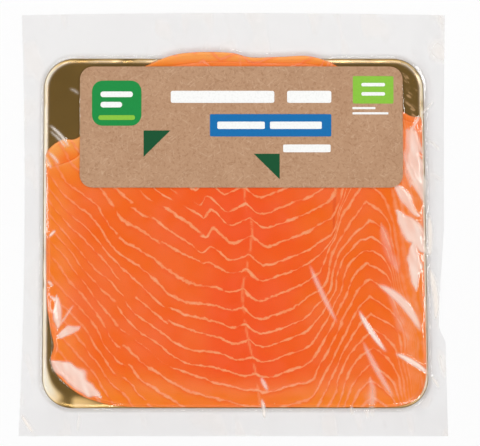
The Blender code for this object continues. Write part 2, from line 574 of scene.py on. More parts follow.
@dataclass(frozen=True)
class SalmonFlesh:
    """Moist orange flesh crossed by pale lines of fat.

    Attributes:
        deep: The flesh along the middle of the side.
        fair: The flesh half way out.
        warm: Warmer flesh in patches among the fair.
        rim: The yellower flesh at the cut edges.
        thin: Flesh so thin that the gold card shows through.
        fat: A thin line of fat.
        thick_fat: The middle of a broad line of fat.
        shade: The flesh just under a line of fat.
        seam: The dark line where two fillets meet.
        pearl: How much light goes under the surface.
        pearl_depth: How far it goes, in metres.
    """

    deep: tuple = linear(251, 86, 30)
    fair: tuple = linear(251, 113, 50)
    warm: tuple = linear(250, 106, 22)
    rim: tuple = linear(252, 130, 22)
    thin: tuple = linear(255, 168, 84)
    fat: tuple = linear(255, 148, 94)
    thick_fat: tuple = linear(255, 176, 132)
    shade: tuple = linear(246, 82, 22)
    seam: tuple = linear(214, 62, 12)
    pearl: float = 0.12
    pearl_depth: float = 0.0015

    def material(self, name: str) -> bpy.types.Material:
        """The flesh, which reads a slice's stored fields.

        Args:
            name: The material's name.

        Returns:
            The material.
        """
        s = Shading(name)
        strength = s.stored("line_strength")
        wobble = s.math("MULTIPLY", s.math("SUBTRACT", s.noise(2.4, 3.0), 0.5), 0.26)
        phase = s.math("ADD", s.stored("band"), wobble)
        share = s.math("FRACT", s.math("ADD", phase, 0.5))
        line, core = self.fat_lines(s, share, strength)
        flesh = s.blend(s.between(s.noise(22.0, 2.0), 0.35, 0.65), self.fair, self.warm)
        flesh = s.blend(s.stored("middle"), flesh, self.deep)
        flesh = s.blend(s.stored("edge"), flesh, self.rim)
        flesh = s.blend(s.stored("thin"), flesh, self.thin)
        flesh = s.blend(s.math("MULTIPLY", s.stored("seam"), 0.55), flesh, self.seam)
        under = s.between(share, 0.5, 0.8, 0.4, 0.0)
        above = s.between(share, 0.38, 0.5)
        shaded = s.math("MULTIPLY", s.math("MULTIPLY", under, above), strength)
        flesh = s.blend(shaded, flesh, self.shade)
        colour = s.blend(line, flesh, self.fat)
        colour = s.blend(core, colour, self.thick_fat)
        relief = s.math("ADD", s.math("MULTIPLY", line, -0.5), s.noise(9.0, 1.0))
        gloss = s.between(s.noise(7.0, 2.0, offset=9.0), 0.3, 0.7, 0.28, 0.46)
        shader = s.node(
            "BsdfPrincipled",
            {
                "Base Color": colour,
                "Roughness": gloss,
                "Normal": s.bump(relief, 0.12, 0.5),
                "Subsurface Weight": self.pearl,
                "Subsurface Radius": (1.0, 0.45, 0.25),
                "Subsurface Scale": self.pearl_depth,
            },
        )
        return s.finish(shader)

    def fat_lines(self, s: Shading, share: Socket, strength: Socket) -> tuple[Socket, Socket]:
        """Where the fat lies.

        Args:
            s: The flesh's nodes.
            share: How far each place is from one line to the next, 0.5 on a line.
            strength: How strongly the lines show.

        Returns:
            The share of fat, and the share of the thick fat in the broad lines' middle.
        """
        off_line = s.math("ABSOLUTE", s.math("SUBTRACT", share, 0.5))
        off_line = s.math("MULTIPLY", off_line, s.stored("pitch"))
        swell = s.between(s.noise(4.5, 2.0, offset=3.0), 0.30, 0.70, -0.24, 0.28)
        width = s.math("ADD", s.stored("line_width"), swell)
        outer = s.math("ADD", width, 0.38)
        inner = s.math("SUBTRACT", width, 0.10)
        present = s.between(width, -0.08, 0.16)
        line = s.math("MULTIPLY", s.between(off_line, outer, inner), present)
        line = s.math("MULTIPLY", line, strength)
        core = s.math("MULTIPLY", s.between(off_line, width, 0.0), s.between(width, 0.25, 0.75))
        core = s.math("MULTIPLY", core, strength)
        spine = s.math("MULTIPLY", s.stored("spine"), s.between(s.noise(5.0, 2.0), 0.35, 0.55))
        return s.math("MAXIMUM", line, spine), core


@dataclass(frozen=True)
class GoldCard:
    """Metallised gold card, satin, with its cream core bare along the rim and painted highlights on
    the rim and on its upper right corner.

    Attributes:
        core: The card's bare core, which also paints the rim's highlight.
        rim_glint_gold: The painted highlight of bright gold on the rim.
        fold_glint_colour: The colour of the painted glints on the upper right corner.
        gold: The metal's colour.
        tarnish: The metal's colour in its darker patches.
        roughness: How rough the metal is.
    """

    core: tuple = linear(255, 247, 224)
    rim_glint_gold: tuple = linear(250, 212, 146)
    fold_glint_colour: tuple = linear(236, 190, 140)
    gold: tuple = (0.76, 0.46, 0.13, 1.0)
    tarnish: tuple = (0.70, 0.42, 0.11, 1.0)
    roughness: float = 0.22

    def material(self, name: str) -> bpy.types.Material:
        """The card.

        Args:
            name: The material's name.

        Returns:
            The material.
        """
        s = Shading(name)
        colour = s.blend(s.between(s.noise(40.0, 1.0), 0.3, 0.7), self.gold, self.tarnish)
        rough = s.between(s.noise(25.0, 2.0), 0.3, 0.7, self.roughness - 0.02, self.roughness + 0.04)
        grain = s.noise(0.8, 2.0)
        # Painted glints on the upper right corner, paler and less metallic.
        fold_glint = s.between(s.noise(5.5, 4.0, (1.0, 2.4, 1.0), turn=40.0), 0.50, 0.68)
        fold_glint = s.math("MULTIPLY", fold_glint, s.stored("fold_glint_mask"))
        colour = s.blend(fold_glint, colour, self.fold_glint_colour)
        # The rim: the bare core, partly real and partly painted highlight, with painted bright gold
        # in it.
        rim = s.stored("rim")
        bright = s.blend(s.stored("rim_glint_gold"), self.core, self.rim_glint_gold)
        colour = s.blend(rim, colour, bright)
        bare = s.math("MAXIMUM", rim, s.math("MULTIPLY", fold_glint, 0.55))
        shader = s.node(
            "BsdfPrincipled",
            {
                "Base Color": colour,
                "Metallic": s.between(bare, 0.0, 1.0, 0.92, 0.05),
                "Roughness": rough,
                "Normal": s.bump(grain, 0.01, 0.3),
            },
        )
        return s.finish(shader)


@dataclass(frozen=True)
class ClearFilm:
    """Clear glossy film, with painted highlights drawn as milky white where it is creased, stands
    off or lies over the board's rim, and painted shade beside the board.

    Attributes:
        tint: What the film lets through.
        milk_and_glint: The colour of the painted highlights, a milky white.
        mirror: The share of light that both faces send back, seen straight on.
        painted_shade: What the film lets through where painted shade darkens it, right of and below
            the board.
    """

    tint: tuple = (0.972, 0.969, 0.968, 1.0)
    milk_and_glint: tuple = (1.0, 0.91, 0.83, 1.0)
    mirror: float = 0.045
    painted_shade: tuple = (0.915, 0.905, 0.905, 1.0)

    def material(self, name: str, paints_glint_and_shade: bool) -> bpy.types.Material:
        """The film.

        Args:
            name: The material's name.
            paints_glint_and_shade: Whether the piece stores where its painted highlights and painted
                shade lie, and its sheen.

        Returns:
            The material.
        """
        s = Shading(name)
        normal = s.bump(s.noise(14.0, 2.0), 0.25, 0.35)
        clear = s.node("BsdfTransparent", {"Color": self.tint})
        # Painted shade: the film lets less through right of and below the board.
        if paints_glint_and_shade:
            s.feed(clear.inputs["Color"], s.blend(s.stored("painted_shade"), self.tint, self.painted_shade))
        up = s.node("CombineXYZ", {"Z": 1.0}).outputs[0]
        # Painted highlight: a diffuse milky white, lit as if it faced straight up, laid over the
        # film by the stored strength.
        glint_haze = s.node("BsdfDiffuse", {"Color": self.milk_and_glint, "Normal": up})
        gloss = s.node("BsdfGlossy", {"Roughness": 0.06, "Normal": normal})
        lit = s.math("SUBTRACT", 1.0, s.node("LightPath").outputs["Is Shadow Ray"])
        body = clear
        if paints_glint_and_shade:
            share = s.math("MULTIPLY", s.math("MINIMUM", s.stored("milk_and_glint"), 0.90), lit)
            body = s.node("MixShader", {0: share, 1: clear.outputs[0], 2: glint_haze.outputs[0]})
        facing = s.node("LayerWeight", {"Normal": normal}).outputs["Facing"]
        rise = s.math("POWER", facing, 5.0)
        back = s.math("MULTIPLY_ADD", rise, 0.8, self.mirror, clamp=True)
        if paints_glint_and_shade:
            back = s.math("MULTIPLY", back, s.stored("sheen"))
        back = s.math("MULTIPLY", back, lit)
        shader = s.node("MixShader", {0: back, 1: body.outputs[0], 2: gloss.outputs[0]})
        return s.finish(shader)


@dataclass(frozen=True)
class KraftPaper:
    """Brown kraft paper: matte, with short darker and paler fibres.

    Attributes:
        paper: The paper.
        dark: Its darker fibres and patches.
        pale: Its paler fibres.
    """

    paper: tuple = linear(190, 150, 118)
    dark: tuple = linear(166, 124, 92)
    pale: tuple = linear(206, 170, 140)

    def material(self, name: str) -> bpy.types.Material:
        """The paper.

        Args:
            name: The material's name.

        Returns:
            The material.
        """
        s = Shading(name)
        fleck = s.noise(1.3, 3.0)
        colour = s.blend(s.between(s.noise(9.0, 2.0), 0.3, 0.7, 0.0, 0.25), self.paper, self.dark)
        colour = s.blend(s.between(fleck, 0.50, 0.70, 0.0, 0.7), colour, self.dark)
        for turn in (25.0, 80.0, 140.0):
            strand = s.noise(1.5, 2.0, (0.35, 2.2, 1.0), offset=turn, turn=turn)
            colour = s.blend(s.between(strand, 0.60, 0.72, 0.0, 0.6), colour, self.pale)
            strand = s.noise(1.3, 2.0, (0.4, 2.2, 1.0), offset=2.0 * turn, turn=turn + 30.0)
            colour = s.blend(s.between(strand, 0.62, 0.74, 0.0, 0.7), colour, self.dark)
        shader = s.node(
            "BsdfPrincipled",
            {
                "Base Color": colour,
                "Roughness": 0.85,
                "Specular IOR Level": 0.25,
                "Normal": s.bump(fleck, 0.03, 0.5),
            },
        )
        return s.finish(shader)


class Ink(Enum):
    """The inks of the label's print, as colours on a screen."""

    GREEN = (14, 142, 64)
    DARK_GREEN = (0, 80, 42)
    LIGHT_GREEN = (140, 198, 62)
    BLUE = (0, 110, 176)
    WHITE = (250, 250, 248)

    def material(self) -> bpy.types.Material:
        """The ink, flat on paper, with the paper's fibres faintly in it."""
        s = Shading("ink_" + self.name.lower())
        base = linear(*self.value)
        worn = tuple(0.93 * part for part in base[:3]) + (1.0,)
        colour = s.blend(s.between(s.noise(0.9, 3.0), 0.45, 0.7), base, worn)
        inputs = {"Base Color": colour, "Roughness": 0.7, "Specular IOR Level": 0.3}
        return s.finish(s.node("BsdfPrincipled", inputs))


@dataclass(frozen=True)
class StudioWhite:
    """The pale floor's paint.

    Attributes:
        paint: The paint's colour.
    """

    paint: tuple = (0.97, 0.97, 0.97, 1.0)

    def material(self, name: str) -> bpy.types.Material:
        """The paint.

        Args:
            name: The material's name.

        Returns:
            The material.
        """
        s = Shading(name)
        shade = tuple(0.985 * part for part in self.paint[:3]) + (1.0,)
        colour = s.blend(s.noise(300.0, 1.0), self.paint, shade)
        inputs = {"Base Color": colour, "Roughness": 0.9, "Specular IOR Level": 0.1}
        return s.finish(s.node("BsdfPrincipled", inputs))


# --- The pack's shape --------------------------------------------------------------------


@dataclass
class Board:
    """The gold card under the fish, its rim drawn up a little by the film.

    Attributes:
        size: Its width and depth.
        centre: Its middle.
        corner: The radius of its corners.
        thickness: How thick the card is.
        underside: How high it lies over the surface under the pack.
        lip_width: How wide the drawn-up rim is.
        lip_rise: How high the rim rises.
        left_flare: How much wider the left side is at the foot than at the middle.
        right_flare: The same for the right side.
        rim_width: How wide the bare core and its painted highlight show along the rim.
        corner_rim_width: How wide it shows round the lower left corner.
        left_side: Where the bare rim, painted brighter there as a highlight, sets in towards the
            left, along x.
        right_side: The same towards the right.
        corner_side: The same for the broad rim of the lower left corner.
        foot: Where the bare rim sets in towards the foot, along y.
        head: The same towards the top.
        edge_round: How far the card's edge is rounded off.
        crinkle_size: The width of one crinkle near the rim.
        crinkle_height: How high a crinkle stands.
        fold_glint_from: The place up and right of which glints are painted on the card.
        fold_glint_fade: How far from there the painted glints set in.
        cells: How many cells its mesh has each way.
    """

    size: Point = (178.0, 162.5)
    centre: Point = (0.5, -4.2)
    corner: float = 14.0
    thickness: float = 0.5
    underside: float = 0.12
    lip_width: float = 2.4
    lip_rise: float = 0.95
    left_flare: float = 0.5
    right_flare: float = 1.4
    rim_width: float = 1.5
    corner_rim_width: float = 5.2
    left_side: Span = (-72.0, -84.0)
    right_side: Span = (76.0, 86.0)
    corner_side: Span = (-50.0, -74.0)
    foot: Span = (-62.0, -80.0)
    head: Span = (68.0, 74.0)
    edge_round: float = 0.15
    crinkle_size: float = 3.0
    crinkle_height: float = 0.10
    fold_glint_from: Point = (74.0, 44.0)
    fold_glint_fade: float = 6.0
    cells: int = 150

    def outline(self) -> np.ndarray:
        """The card's cut edge, a little wider at its foot than at its top."""
        line = rounded_rectangle(self.centre, self.size, self.corner, arc=14)
        across, along = ((line - self.centre) / (np.array(self.size) / 2)).T
        flare = np.where(across > 0, self.right_flare, self.left_flare)
        line[:, 0] -= flare * across * along
        return line

    def lift(self, depth: np.ndarray) -> np.ndarray:
        """How far the card curls up at a depth inside its edge."""
        share = np.clip(1.0 - depth / self.lip_width, 0.0, 1.0)
        return self.lip_rise * (0.6 * share + 0.4 * ease(0.0, 1.0, share))

    def rim(self, x: np.ndarray, y: np.ndarray, depth: np.ndarray) -> np.ndarray:
        """How bare the card's core is along its rim, painted as a highlight that is strongest at the
        left and the lower left corner and weakest at the foot.

        Args:
            x: The places' x.
            y: The places' y.
            depth: How deep they lie inside the card's edge.

        Returns:
            The share of core and painted highlight, from 0 to 1.
        """
        left, right = ease(*self.left_side, x), ease(*self.right_side, x)
        foot, head = ease(*self.foot, y), ease(*self.head, y)
        corner = ease(*self.corner_side, x) * foot
        width = self.rim_width + (self.corner_rim_width - self.rim_width) * corner
        # Painted highlight: each side of the rim shows with its own strength.
        sides = np.maximum(np.maximum(left, 0.85 * corner), 0.75 * right)
        strength = np.maximum(sides, np.maximum(0.45 * foot, 0.60 * head))
        worn = ease(-1.1, -0.3, soft_noise(x, y, 7.0, 6))
        softness = 0.5 + 0.3 * width
        inner = ease(width + softness, width - softness, depth)
        return strength * worn * inner * ease(0.10, 0.40, depth)

    def top(self, depth: np.ndarray) -> np.ndarray:
        """The height of the card's upper face at a depth inside its edge."""
        return self.underside + self.thickness + self.lift(depth)

    def build(self, finish: GoldCard) -> list[bpy.types.Object]:
        """Makes the card.

        Args:
            finish: The card's finish.

        Returns:
            The card as the only piece.
        """
        square, _ = square_grid(self.cells)
        outline = self.outline()
        places = spread_over(square, outline, crowding=1.6)
        x, y = places.T
        depth = np.maximum(depth_inside(x, y, outline), 0.0)
        crinkle = self.crinkle_height * soft_noise(x, y, self.crinkle_size, 5)
        crinkle = crinkle * ease(9.0, 2.0, depth) * ease(0.0, 0.8, depth)
        top = self.top(depth) + crinkle
        round_off = self.edge_round * ease(0.6, 0.0, depth)
        bottom = self.underside + self.lift(depth) + crinkle + round_off
        card = solid_slab("gold_board", self.cells, places, top - round_off, bottom)
        # Painted highlight: bright gold on the rim, more of it further in and towards the top and
        # the foot.
        inward = 0.55 * ease(1.5, 5.0, depth)
        ends = np.maximum(ease(-76.0, -84.0, y), ease(70.0, 76.0, y))
        # Painted glints: where they lie on the card's upper right corner.
        (left, foot), fade = self.fold_glint_from, self.fold_glint_fade
        fold_glint_mask = ease(left, left + fade, x) * ease(foot, foot + fade, y)
        add_values(card, "rim", self.rim(x, y, depth))
        add_values(card, "rim_glint_gold", np.clip(0.9 * ends + inward, 0.0, 1.0))
        add_values(card, "fold_glint_mask", 0.8 * fold_glint_mask * ease(2.0, 3.5, depth))
        card.data.materials.append(finish.material("gold_card"))
        return [card]


@dataclass
class MuscleBands:
    """How the fat between the muscle bands runs over the side of the fish.

    Every line is the same curve started from its own point on the spine: it drops to a
    small vertex, climbs outwards on both sides, and on the right side falls again past an
    apex.  Rises are over the line's start, against the distance from the spine.

    Attributes:
        pitch: The usual distance between lines.
        starts: Where the lines start, from the top one down.
        spine: The spine's x against y.
        seam_line: Where two fillets meet, right of the middle.
        left_high: A line's rise on the left, in the middle of the side.
        left_top: The same for the topmost lines, which jag close to the spine.
        left_low: The same for the lowest lines.
        right_high: A line's rise on the right, from the middle of the side up.
        right_low: The same for the lowest lines.
        top_starts: Starts between which lines change to the topmost ones' rise.
        low_starts: Starts between which they change to the lowest ones' rise, on the left.
        right_low_starts: The same on the right.
        half_width: Half the width of a thin line.
        thick_at: Where the lines are thickest, from the spine.
        thick_reach: How far to each side of that they are thick.
        left_fade: Where the lines fade in from the left edge, from the spine.
        right_fade: Where they fade in from the right edge.
        broken_left: Where they start to be broken, along x, from the left.
        broken_right: The same from the right.
        break_shift: How far a broken line is shifted.
        deep_at: The x of the deepest coloured flesh.
        deep_reach: How far to each side of that it goes.
        settle_rounds: How often a place's line is looked for.
        settle_share: How much of the way to the found line each look goes.
        slope_reach: How far to each side a line's slope is taken.
    """

    pitch: float = 7.85
    starts: tuple = (
        9.7, 3.4, -5.0, -13.8, -20.9, -29.9, -38.4, -46.2, -53.6, -61.7, -69.3, -76.6,
    )
    spine: Knots = (
        (-82.0, 12.2), (-70.0, 10.6), (-60.0, 8.4), (-46.0, 5.6), (-30.0, 4.3),
        (-13.0, 7.6), (0.0, 8.5), (9.5, 6.0), (40.0, 4.5), (82.0, 3.0),
    )
    seam_line: Knots = ((46.9, 24.0), (46.9, 6.0), (46.2, -10.0))
    left_high: Knots = (
        (0.0, 0.0), (5.3, -1.7), (13.0, 0.8), (23.0, 4.2), (31.0, 7.2), (38.0, 11.0),
        (44.0, 16.0), (50.0, 20.8), (56.0, 25.0), (62.0, 31.0), (67.0, 38.5), (72.0, 43.0),
        (82.0, 51.5), (90.0, 61.0), (100.0, 72.0),
    )
    left_top: Knots = (
        (0.0, 0.0), (4.5, -1.7), (9.5, -3.4), (13.5, 0.2), (17.3, 3.9), (18.0, 4.2),
        (18.7, 3.6), (21.2, 0.9), (21.8, 0.7), (22.4, 1.1), (27.0, 4.6), (33.0, 9.0),
        (40.0, 13.5), (50.0, 21.0), (60.0, 29.5), (72.0, 43.0), (82.0, 51.5), (90.0, 61.0),
        (100.0, 72.0),
    )
    left_low: Knots = (
        (0.0, 0.0), (5.3, 0.2), (13.0, 2.4), (24.0, 4.8), (31.0, 6.4), (38.0, 9.0),
        (44.0, 12.2), (50.0, 16.2), (56.0, 20.5), (61.0, 26.5), (67.0, 31.0), (72.0, 37.0),
        (77.0, 45.0), (82.0, 52.0), (90.0, 61.0), (100.0, 72.0),
    )
    right_high: Knots = (
        (0.0, 0.0), (3.5, -3.4), (6.6, -5.2), (9.0, -5.0), (14.4, -3.2), (19.4, -1.6),
        (24.4, 0.4), (28.5, 2.2), (33.0, 5.0), (36.5, 7.6), (38.5, 10.5), (40.0, 14.5),
        (41.8, 22.0), (43.4, 28.0), (45.2, 33.0), (48.0, 38.4), (50.0, 42.0), (53.0, 45.4),
        (55.4, 48.6), (56.0, 49.2), (56.6, 48.8), (60.0, 46.2), (64.0, 42.4), (66.4, 38.2),
        (69.0, 30.0), (72.0, 18.0), (75.0, 4.0), (80.0, -24.0), (88.0, -68.0),
    )
    right_low: Knots = (
        (0.0, 0.0), (1.5, -1.0), (5.5, -1.4), (9.0, -0.6), (14.0, 1.2), (19.0, 2.8),
        (23.5, 4.4), (26.0, 6.4), (28.5, 10.8), (32.0, 16.8), (35.0, 22.3), (37.5, 28.0),
        (40.0, 34.0), (43.0, 40.4), (46.0, 45.2), (49.0, 48.4), (51.4, 50.6), (52.0, 51.1),
        (52.6, 50.7), (56.8, 48.1), (60.8, 45.0), (63.6, 40.6), (66.2, 31.0), (69.0, 18.0),
        (72.0, 3.0), (77.0, -25.0), (85.0, -69.0),
    )
    top_starts: Span = (-26.0, -8.0)
    low_starts: Span = (-48.0, -86.0)
    right_low_starts: Span = (-36.0, -76.0)
    half_width: float = 0.27
    thick_at: float = -34.0
    thick_reach: float = 20.0
    left_fade: Span = (-98.0, -58.0)
    right_fade: Span = (71.0, 59.0)
    broken_left: Span = (-70.0, -46.0)
    broken_right: Span = (-8.0, -20.0)
    break_shift: float = 1.8
    deep_at: float = 4.0
    deep_reach: float = 34.0
    settle_rounds: int = 14
    settle_share: float = 0.6
    slope_reach: float = 0.4

    def rise(self, across: np.ndarray, start: np.ndarray) -> np.ndarray:
        """How far a line has risen.

        Args:
            across: The distance from the spine, negative to the left.
            start: Where the line starts on the spine.

        Returns:
            The rise over the start.
        """
        top = ease(*self.top_starts, start)
        low = ease(*self.low_starts, start)
        left = curve_through(self.left_high, -across) * (1 - low - top)
        left = left + curve_through(self.left_low, -across) * low
        left = left + curve_through(self.left_top, -across) * top
        low = ease(*self.right_low_starts, start)
        right = curve_through(self.right_high, across) * (1 - low)
        right = right + curve_through(self.right_low, across) * low
        return np.where(across < 0, left, right)

    def seam(self, x: np.ndarray, y: np.ndarray) -> np.ndarray:
        """How near each place is to the seam right of the middle, 1 on it."""
        gap, along = distance_to_line(x, y, np.array(self.seam_line))
        return ease(0.75, 0.1, gap) * ease(0.0, 0.15, along) * ease(1.0, 0.6, along)

    def count(self, start: np.ndarray) -> np.ndarray:
        """Which line starts at a height on the spine, with shares between lines.

        Args:
            start: The height on the spine.

        Returns:
            The line's number, a whole number on a line.
        """
        knots = tuple((-height, float(i)) for i, height in enumerate(self.starts))
        first, last = self.starts[0], self.starts[-1]
        above = np.maximum(start - first, 0.0) / self.pitch
        below = np.maximum(last - start, 0.0) / self.pitch
        return curve_through(knots, -start) - above + below

    def fields(self, x: np.ndarray, y: np.ndarray) -> dict[str, np.ndarray]:
        """What the flesh's material needs to know at each place.

        Args:
            x: The places' x.
            y: The places' y.

        Returns:
            The stored values by name.
        """
        beside = np.abs(x - curve_through(self.spine, y))
        jump = ease(-0.12, 0.12, soft_noise(x + 0.5 * y, y, 15.0, 15))
        broken = ease(*self.broken_right, x) * ease(*self.broken_left, x)
        wavy_x, wavy_y = self.wandering(x, y, beside)
        wavy_y = wavy_y + self.break_shift * jump * broken
        start, across = self.start_of(wavy_x, wavy_y, y)
        reach = self.slope_reach
        slope = self.rise(across + reach, start) - self.rise(across - reach, start)
        slope = slope / (2 * reach)
        left = ease(2.0, -2.0, across)
        fork = np.exp(-((across / 2.4) ** 2))
        thick = np.exp(-(((across - self.thick_at) / self.thick_reach) ** 2))
        on_left, on_right = ease(*self.left_fade, across), ease(*self.right_fade, across)
        strength = np.where(across < 0, on_left, on_right)
        hidden = 4.0 * broken * jump * (1.0 - jump)
        strength = (0.50 + 0.50 * strength) * (1.0 - ease(0.15, 0.6, hidden))
        return {
            "band": self.count(start),
            "pitch": self.pitch / np.sqrt(1.0 + slope**2),
            "line_width": self.half_width - 0.05 * left + 0.14 * thick + 0.12 * fork,
            "line_strength": strength,
            "seam": self.seam(x, y),
            "spine": ease(0.75, 0.15, beside) * 0.8,
            "middle": np.exp(-(((x - self.deep_at) / self.deep_reach) ** 2)) * 0.85,
        }

    def wandering(self, x: np.ndarray, y: np.ndarray, beside: np.ndarray) -> tuple:
        """Places moved a little, so that the lines wander, more so away from the spine.

        Args:
            x: The places' x.
            y: The places' y.
            beside: How far they are from the spine.

        Returns:
            The moved x and y.
        """
        wild = 0.35 + 0.65 * ease(6.0, 30.0, beside)
        wavy_x = x + wild * (1.3 * soft_noise(x, y, 17.0, 11) + 0.5 * soft_noise(x, y, 6.0, 12))
        wavy_y = y + wild * (1.5 * soft_noise(x, y, 19.0, 13) + 0.6 * soft_noise(x, y, 7.0, 14))
        return wavy_x, wavy_y

    def start_of(self, x: np.ndarray, y: np.ndarray, guess: np.ndarray) -> tuple:
        """Where on the spine the line through each place starts.

        Args:
            x: The places' x.
            y: The places' y.
            guess: A first guess of the starts.

        Returns:
            The starts, and the distances from the spine there, negative to the left.
        """
        start = guess.copy()
        for _ in range(self.settle_rounds):
            across = x - curve_through(self.spine, start)
            start = start + self.settle_share * (y - self.rise(across, start) - start)
        return start, x - curve_through(self.spine, start)


@dataclass
class SalmonStack:
    """Two groups of slices: the lower ones show along the top left and at the top edge.

    Attributes:
        lower_outline: The lower group's cut edge.
        upper_outline: The upper group's cut edge.
        thickness: How thick each group is in its middle.
        edge_share: How thick the lower group is near its edge, as a share of its middle.
        upper_edge_share: The same for the upper group.
        thinning: How far in from the edge a group reaches its full thickness.
        edge_round: How far in the lower group's edge is rounded.
        upper_edge_round: The same for the upper group.
        groove: How deep the lines of fat lie.
        swell: How high the upper group's broad and its small swellings stand.
        lying_gap: How far the fish lies over the card.
        thin_left: Where the lower group gets thin towards the left, along x.
        thin_above: From where up that holds, along y.
        thin_top: Where the lower group gets thin towards the top.
        cells: How many cells each group's mesh has each way.
        bands: The lines of fat.
    """

    lower_outline: Knots = (
        (-87.0, 33.0), (-80.0, 39.4), (-71.4, 41.0), (-58.0, 58.0), (-46.0, 70.5),
        (-32.0, 77.5), (-20.0, 80.0), (-2.0, 80.0), (8.0, 77.8), (22.0, 78.0), (36.0, 78.2),
        (49.0, 73.3), (64.0, 62.0), (79.0, 52.4), (84.0, 50.0), (87.4, 49.0), (87.9, 36.0),
        (88.8, -20.0), (89.8, -60.0), (89.4, -73.0), (85.9, -80.4), (78.0, -84.3),
        (66.0, -85.0), (30.0, -85.0), (-30.0, -85.0), (-52.0, -84.6), (-64.0, -82.2),
        (-71.8, -79.0), (-78.0, -74.2), (-83.0, -68.6), (-85.0, -62.5), (-83.6, -56.4),
        (-85.4, -47.0), (-87.0, -30.0), (-87.0, 20.0),
    )
    upper_outline: Knots = (
        (-86.8, 25.5), (-80.0, 28.0), (-71.0, 33.0), (-57.0, 52.0), (-45.0, 65.0),
        (-31.0, 73.0), (-10.0, 75.6), (14.0, 75.0), (36.0, 74.6), (48.0, 70.0),
        (63.0, 58.8), (78.0, 49.4), (86.0, 46.0), (87.1, 34.0), (88.0, -20.0),
        (89.0, -60.0), (88.6, -72.4), (85.1, -79.6), (77.6, -83.5), (66.0, -84.2),
        (30.0, -84.2), (-30.0, -84.2), (-51.6, -83.7), (-63.4, -81.2), (-70.8, -78.0),
        (-76.8, -73.2), (-81.8, -67.9), (-83.9, -62.3), (-82.5, -56.4), (-84.4, -46.4),
        (-86.0, -30.0), (-86.2, 12.0),
    )
    thickness: float = 2.1
    edge_share: float = 0.50
    upper_edge_share: float = 0.30
    thinning: float = 16.0
    edge_round: float = 1.3
    upper_edge_round: float = 2.4
    groove: float = 0.07
    swell: tuple[float, float] = (0.22, 0.10)
    lying_gap: float = 0.04
    thin_left: Span = (-52.0, -66.0)
    thin_above: Span = (20.0, 32.0)
    thin_top: Span = (73.0, 78.0)
    cells: int = 250
    bands: MuscleBands = field(default_factory=MuscleBands)

    def profile(self, depth: np.ndarray, edge_share: float, edge_round: float) -> np.ndarray:
        """How thick a group of slices is at a depth inside its edge.

        Args:
            depth: The depth at each place.
            edge_share: How thick the group is near its edge, as a share of its middle.
            edge_round: How far in its edge is rounded.

        Returns:
            The thickness at each place.
        """
        body = edge_share + (1 - edge_share) * ease(0.0, self.thinning, depth)
        share = np.clip(depth / edge_round, 0.0, 1.0)
        return self.thickness * body * (0.22 + 0.78 * np.sqrt(share * (2.0 - share)))

    def heights(self, x: np.ndarray, y: np.ndarray, board: Board) -> tuple:
        """The tops of both groups over the whole pack.

        Args:
            x: The places' x.
            y: The places' y.
            board: The card that they lie on.

        Returns:
            The lower group's top, the upper group's top, and how deep each place lies
            inside the lower group's edge and inside the upper group's.
        """
        on_board = np.maximum(depth_inside(x, y, board.outline()), 0.0)
        base = board.underside + board.thickness + self.lying_gap
        base = base + 0.55 * board.lift(on_board)
        lower_depth = np.maximum(depth_inside(x, y, closed_curve(self.lower_outline)), 0.0)
        lower = self.profile(lower_depth, self.edge_share, self.edge_round)
        lower = base + lower * (lower_depth > 0)
        upper_depth = np.maximum(depth_inside(x, y, closed_curve(self.upper_outline)), 0.0)
        broad, small = self.swell
        swell = broad * soft_noise(x, y, 26.0, 21) + small * soft_noise(x, y, 11.0, 22)
        swell = swell * ease(0.0, 8.0, upper_depth)
        upper = self.profile(upper_depth, self.upper_edge_share, self.upper_edge_round)
        upper = lower + (upper + swell) * (upper_depth > 0)
        return lower, upper, lower_depth, upper_depth

    def group(self, name: str, outline: Knots, board: Board, upper: bool) -> bpy.types.Object:
        """Makes one group of slices.

        Args:
            name: The piece's name.
            outline: Its cut edge.
            board: The card under it.
            upper: Whether it is the upper group.

        Returns:
            The group, with the fields that its flesh reads.
        """
        square, _ = square_grid(self.cells)
        edge = closed_curve(outline)
        places = spread_over(square, edge * 0.9995, crowding=1.15)
        x, y = places[:, 0], places[:, 1]
        lower_top, upper_top, lower_depth, upper_depth = self.heights(x, y, board)
        depth = upper_depth if upper else lower_depth
        floor = board.underside + board.thickness + 0.02
        if upper:
            floor += 0.3
        fields = self.bands.fields(x, y)
        off_line = np.abs((fields["band"] + 0.5) % 1.0 - 0.5) * fields["pitch"]
        groove = self.groove * ease(1.0, 0.2, off_line) * fields["line_strength"]
        height = (upper_top if upper else lower_top) - groove * ease(0.5, 3.0, depth)
        piece = solid_mound(name, self.cells, places, height, floor)
        for key, values in fields.items():
            add_values(piece, key, values)
        side = ease(19.0, 1.0, depth) * 0.85
        add_values(piece, "edge", np.clip(side + 0.25 * soft_noise(x, y, 18.0, 31), 0.0, 1.0))
        thin = ease(*self.thin_left, x) * ease(*self.thin_above, y)
        thin = np.maximum(thin, ease(*self.thin_top, y))
        add_values(piece, "thin", thin * (0.35 if upper else 0.85) * ease(9.0, 2.0, depth))
        return piece

    def build(self, board: Board, finish: SalmonFlesh) -> list[bpy.types.Object]:
        """Makes both groups of slices.

        Args:
            board: The card under them.
            finish: The flesh.

        Returns:
            The two pieces.
        """
        flesh = finish.material("salmon_flesh")
        pieces = [
            self.group("salmon_slices_lower", self.lower_outline, board, upper=False),
            self.group("salmon_slices_upper", self.upper_outline, board, upper=True),
        ]
        for piece in pieces:
            piece.data.materials.append(flesh)
        return pieces


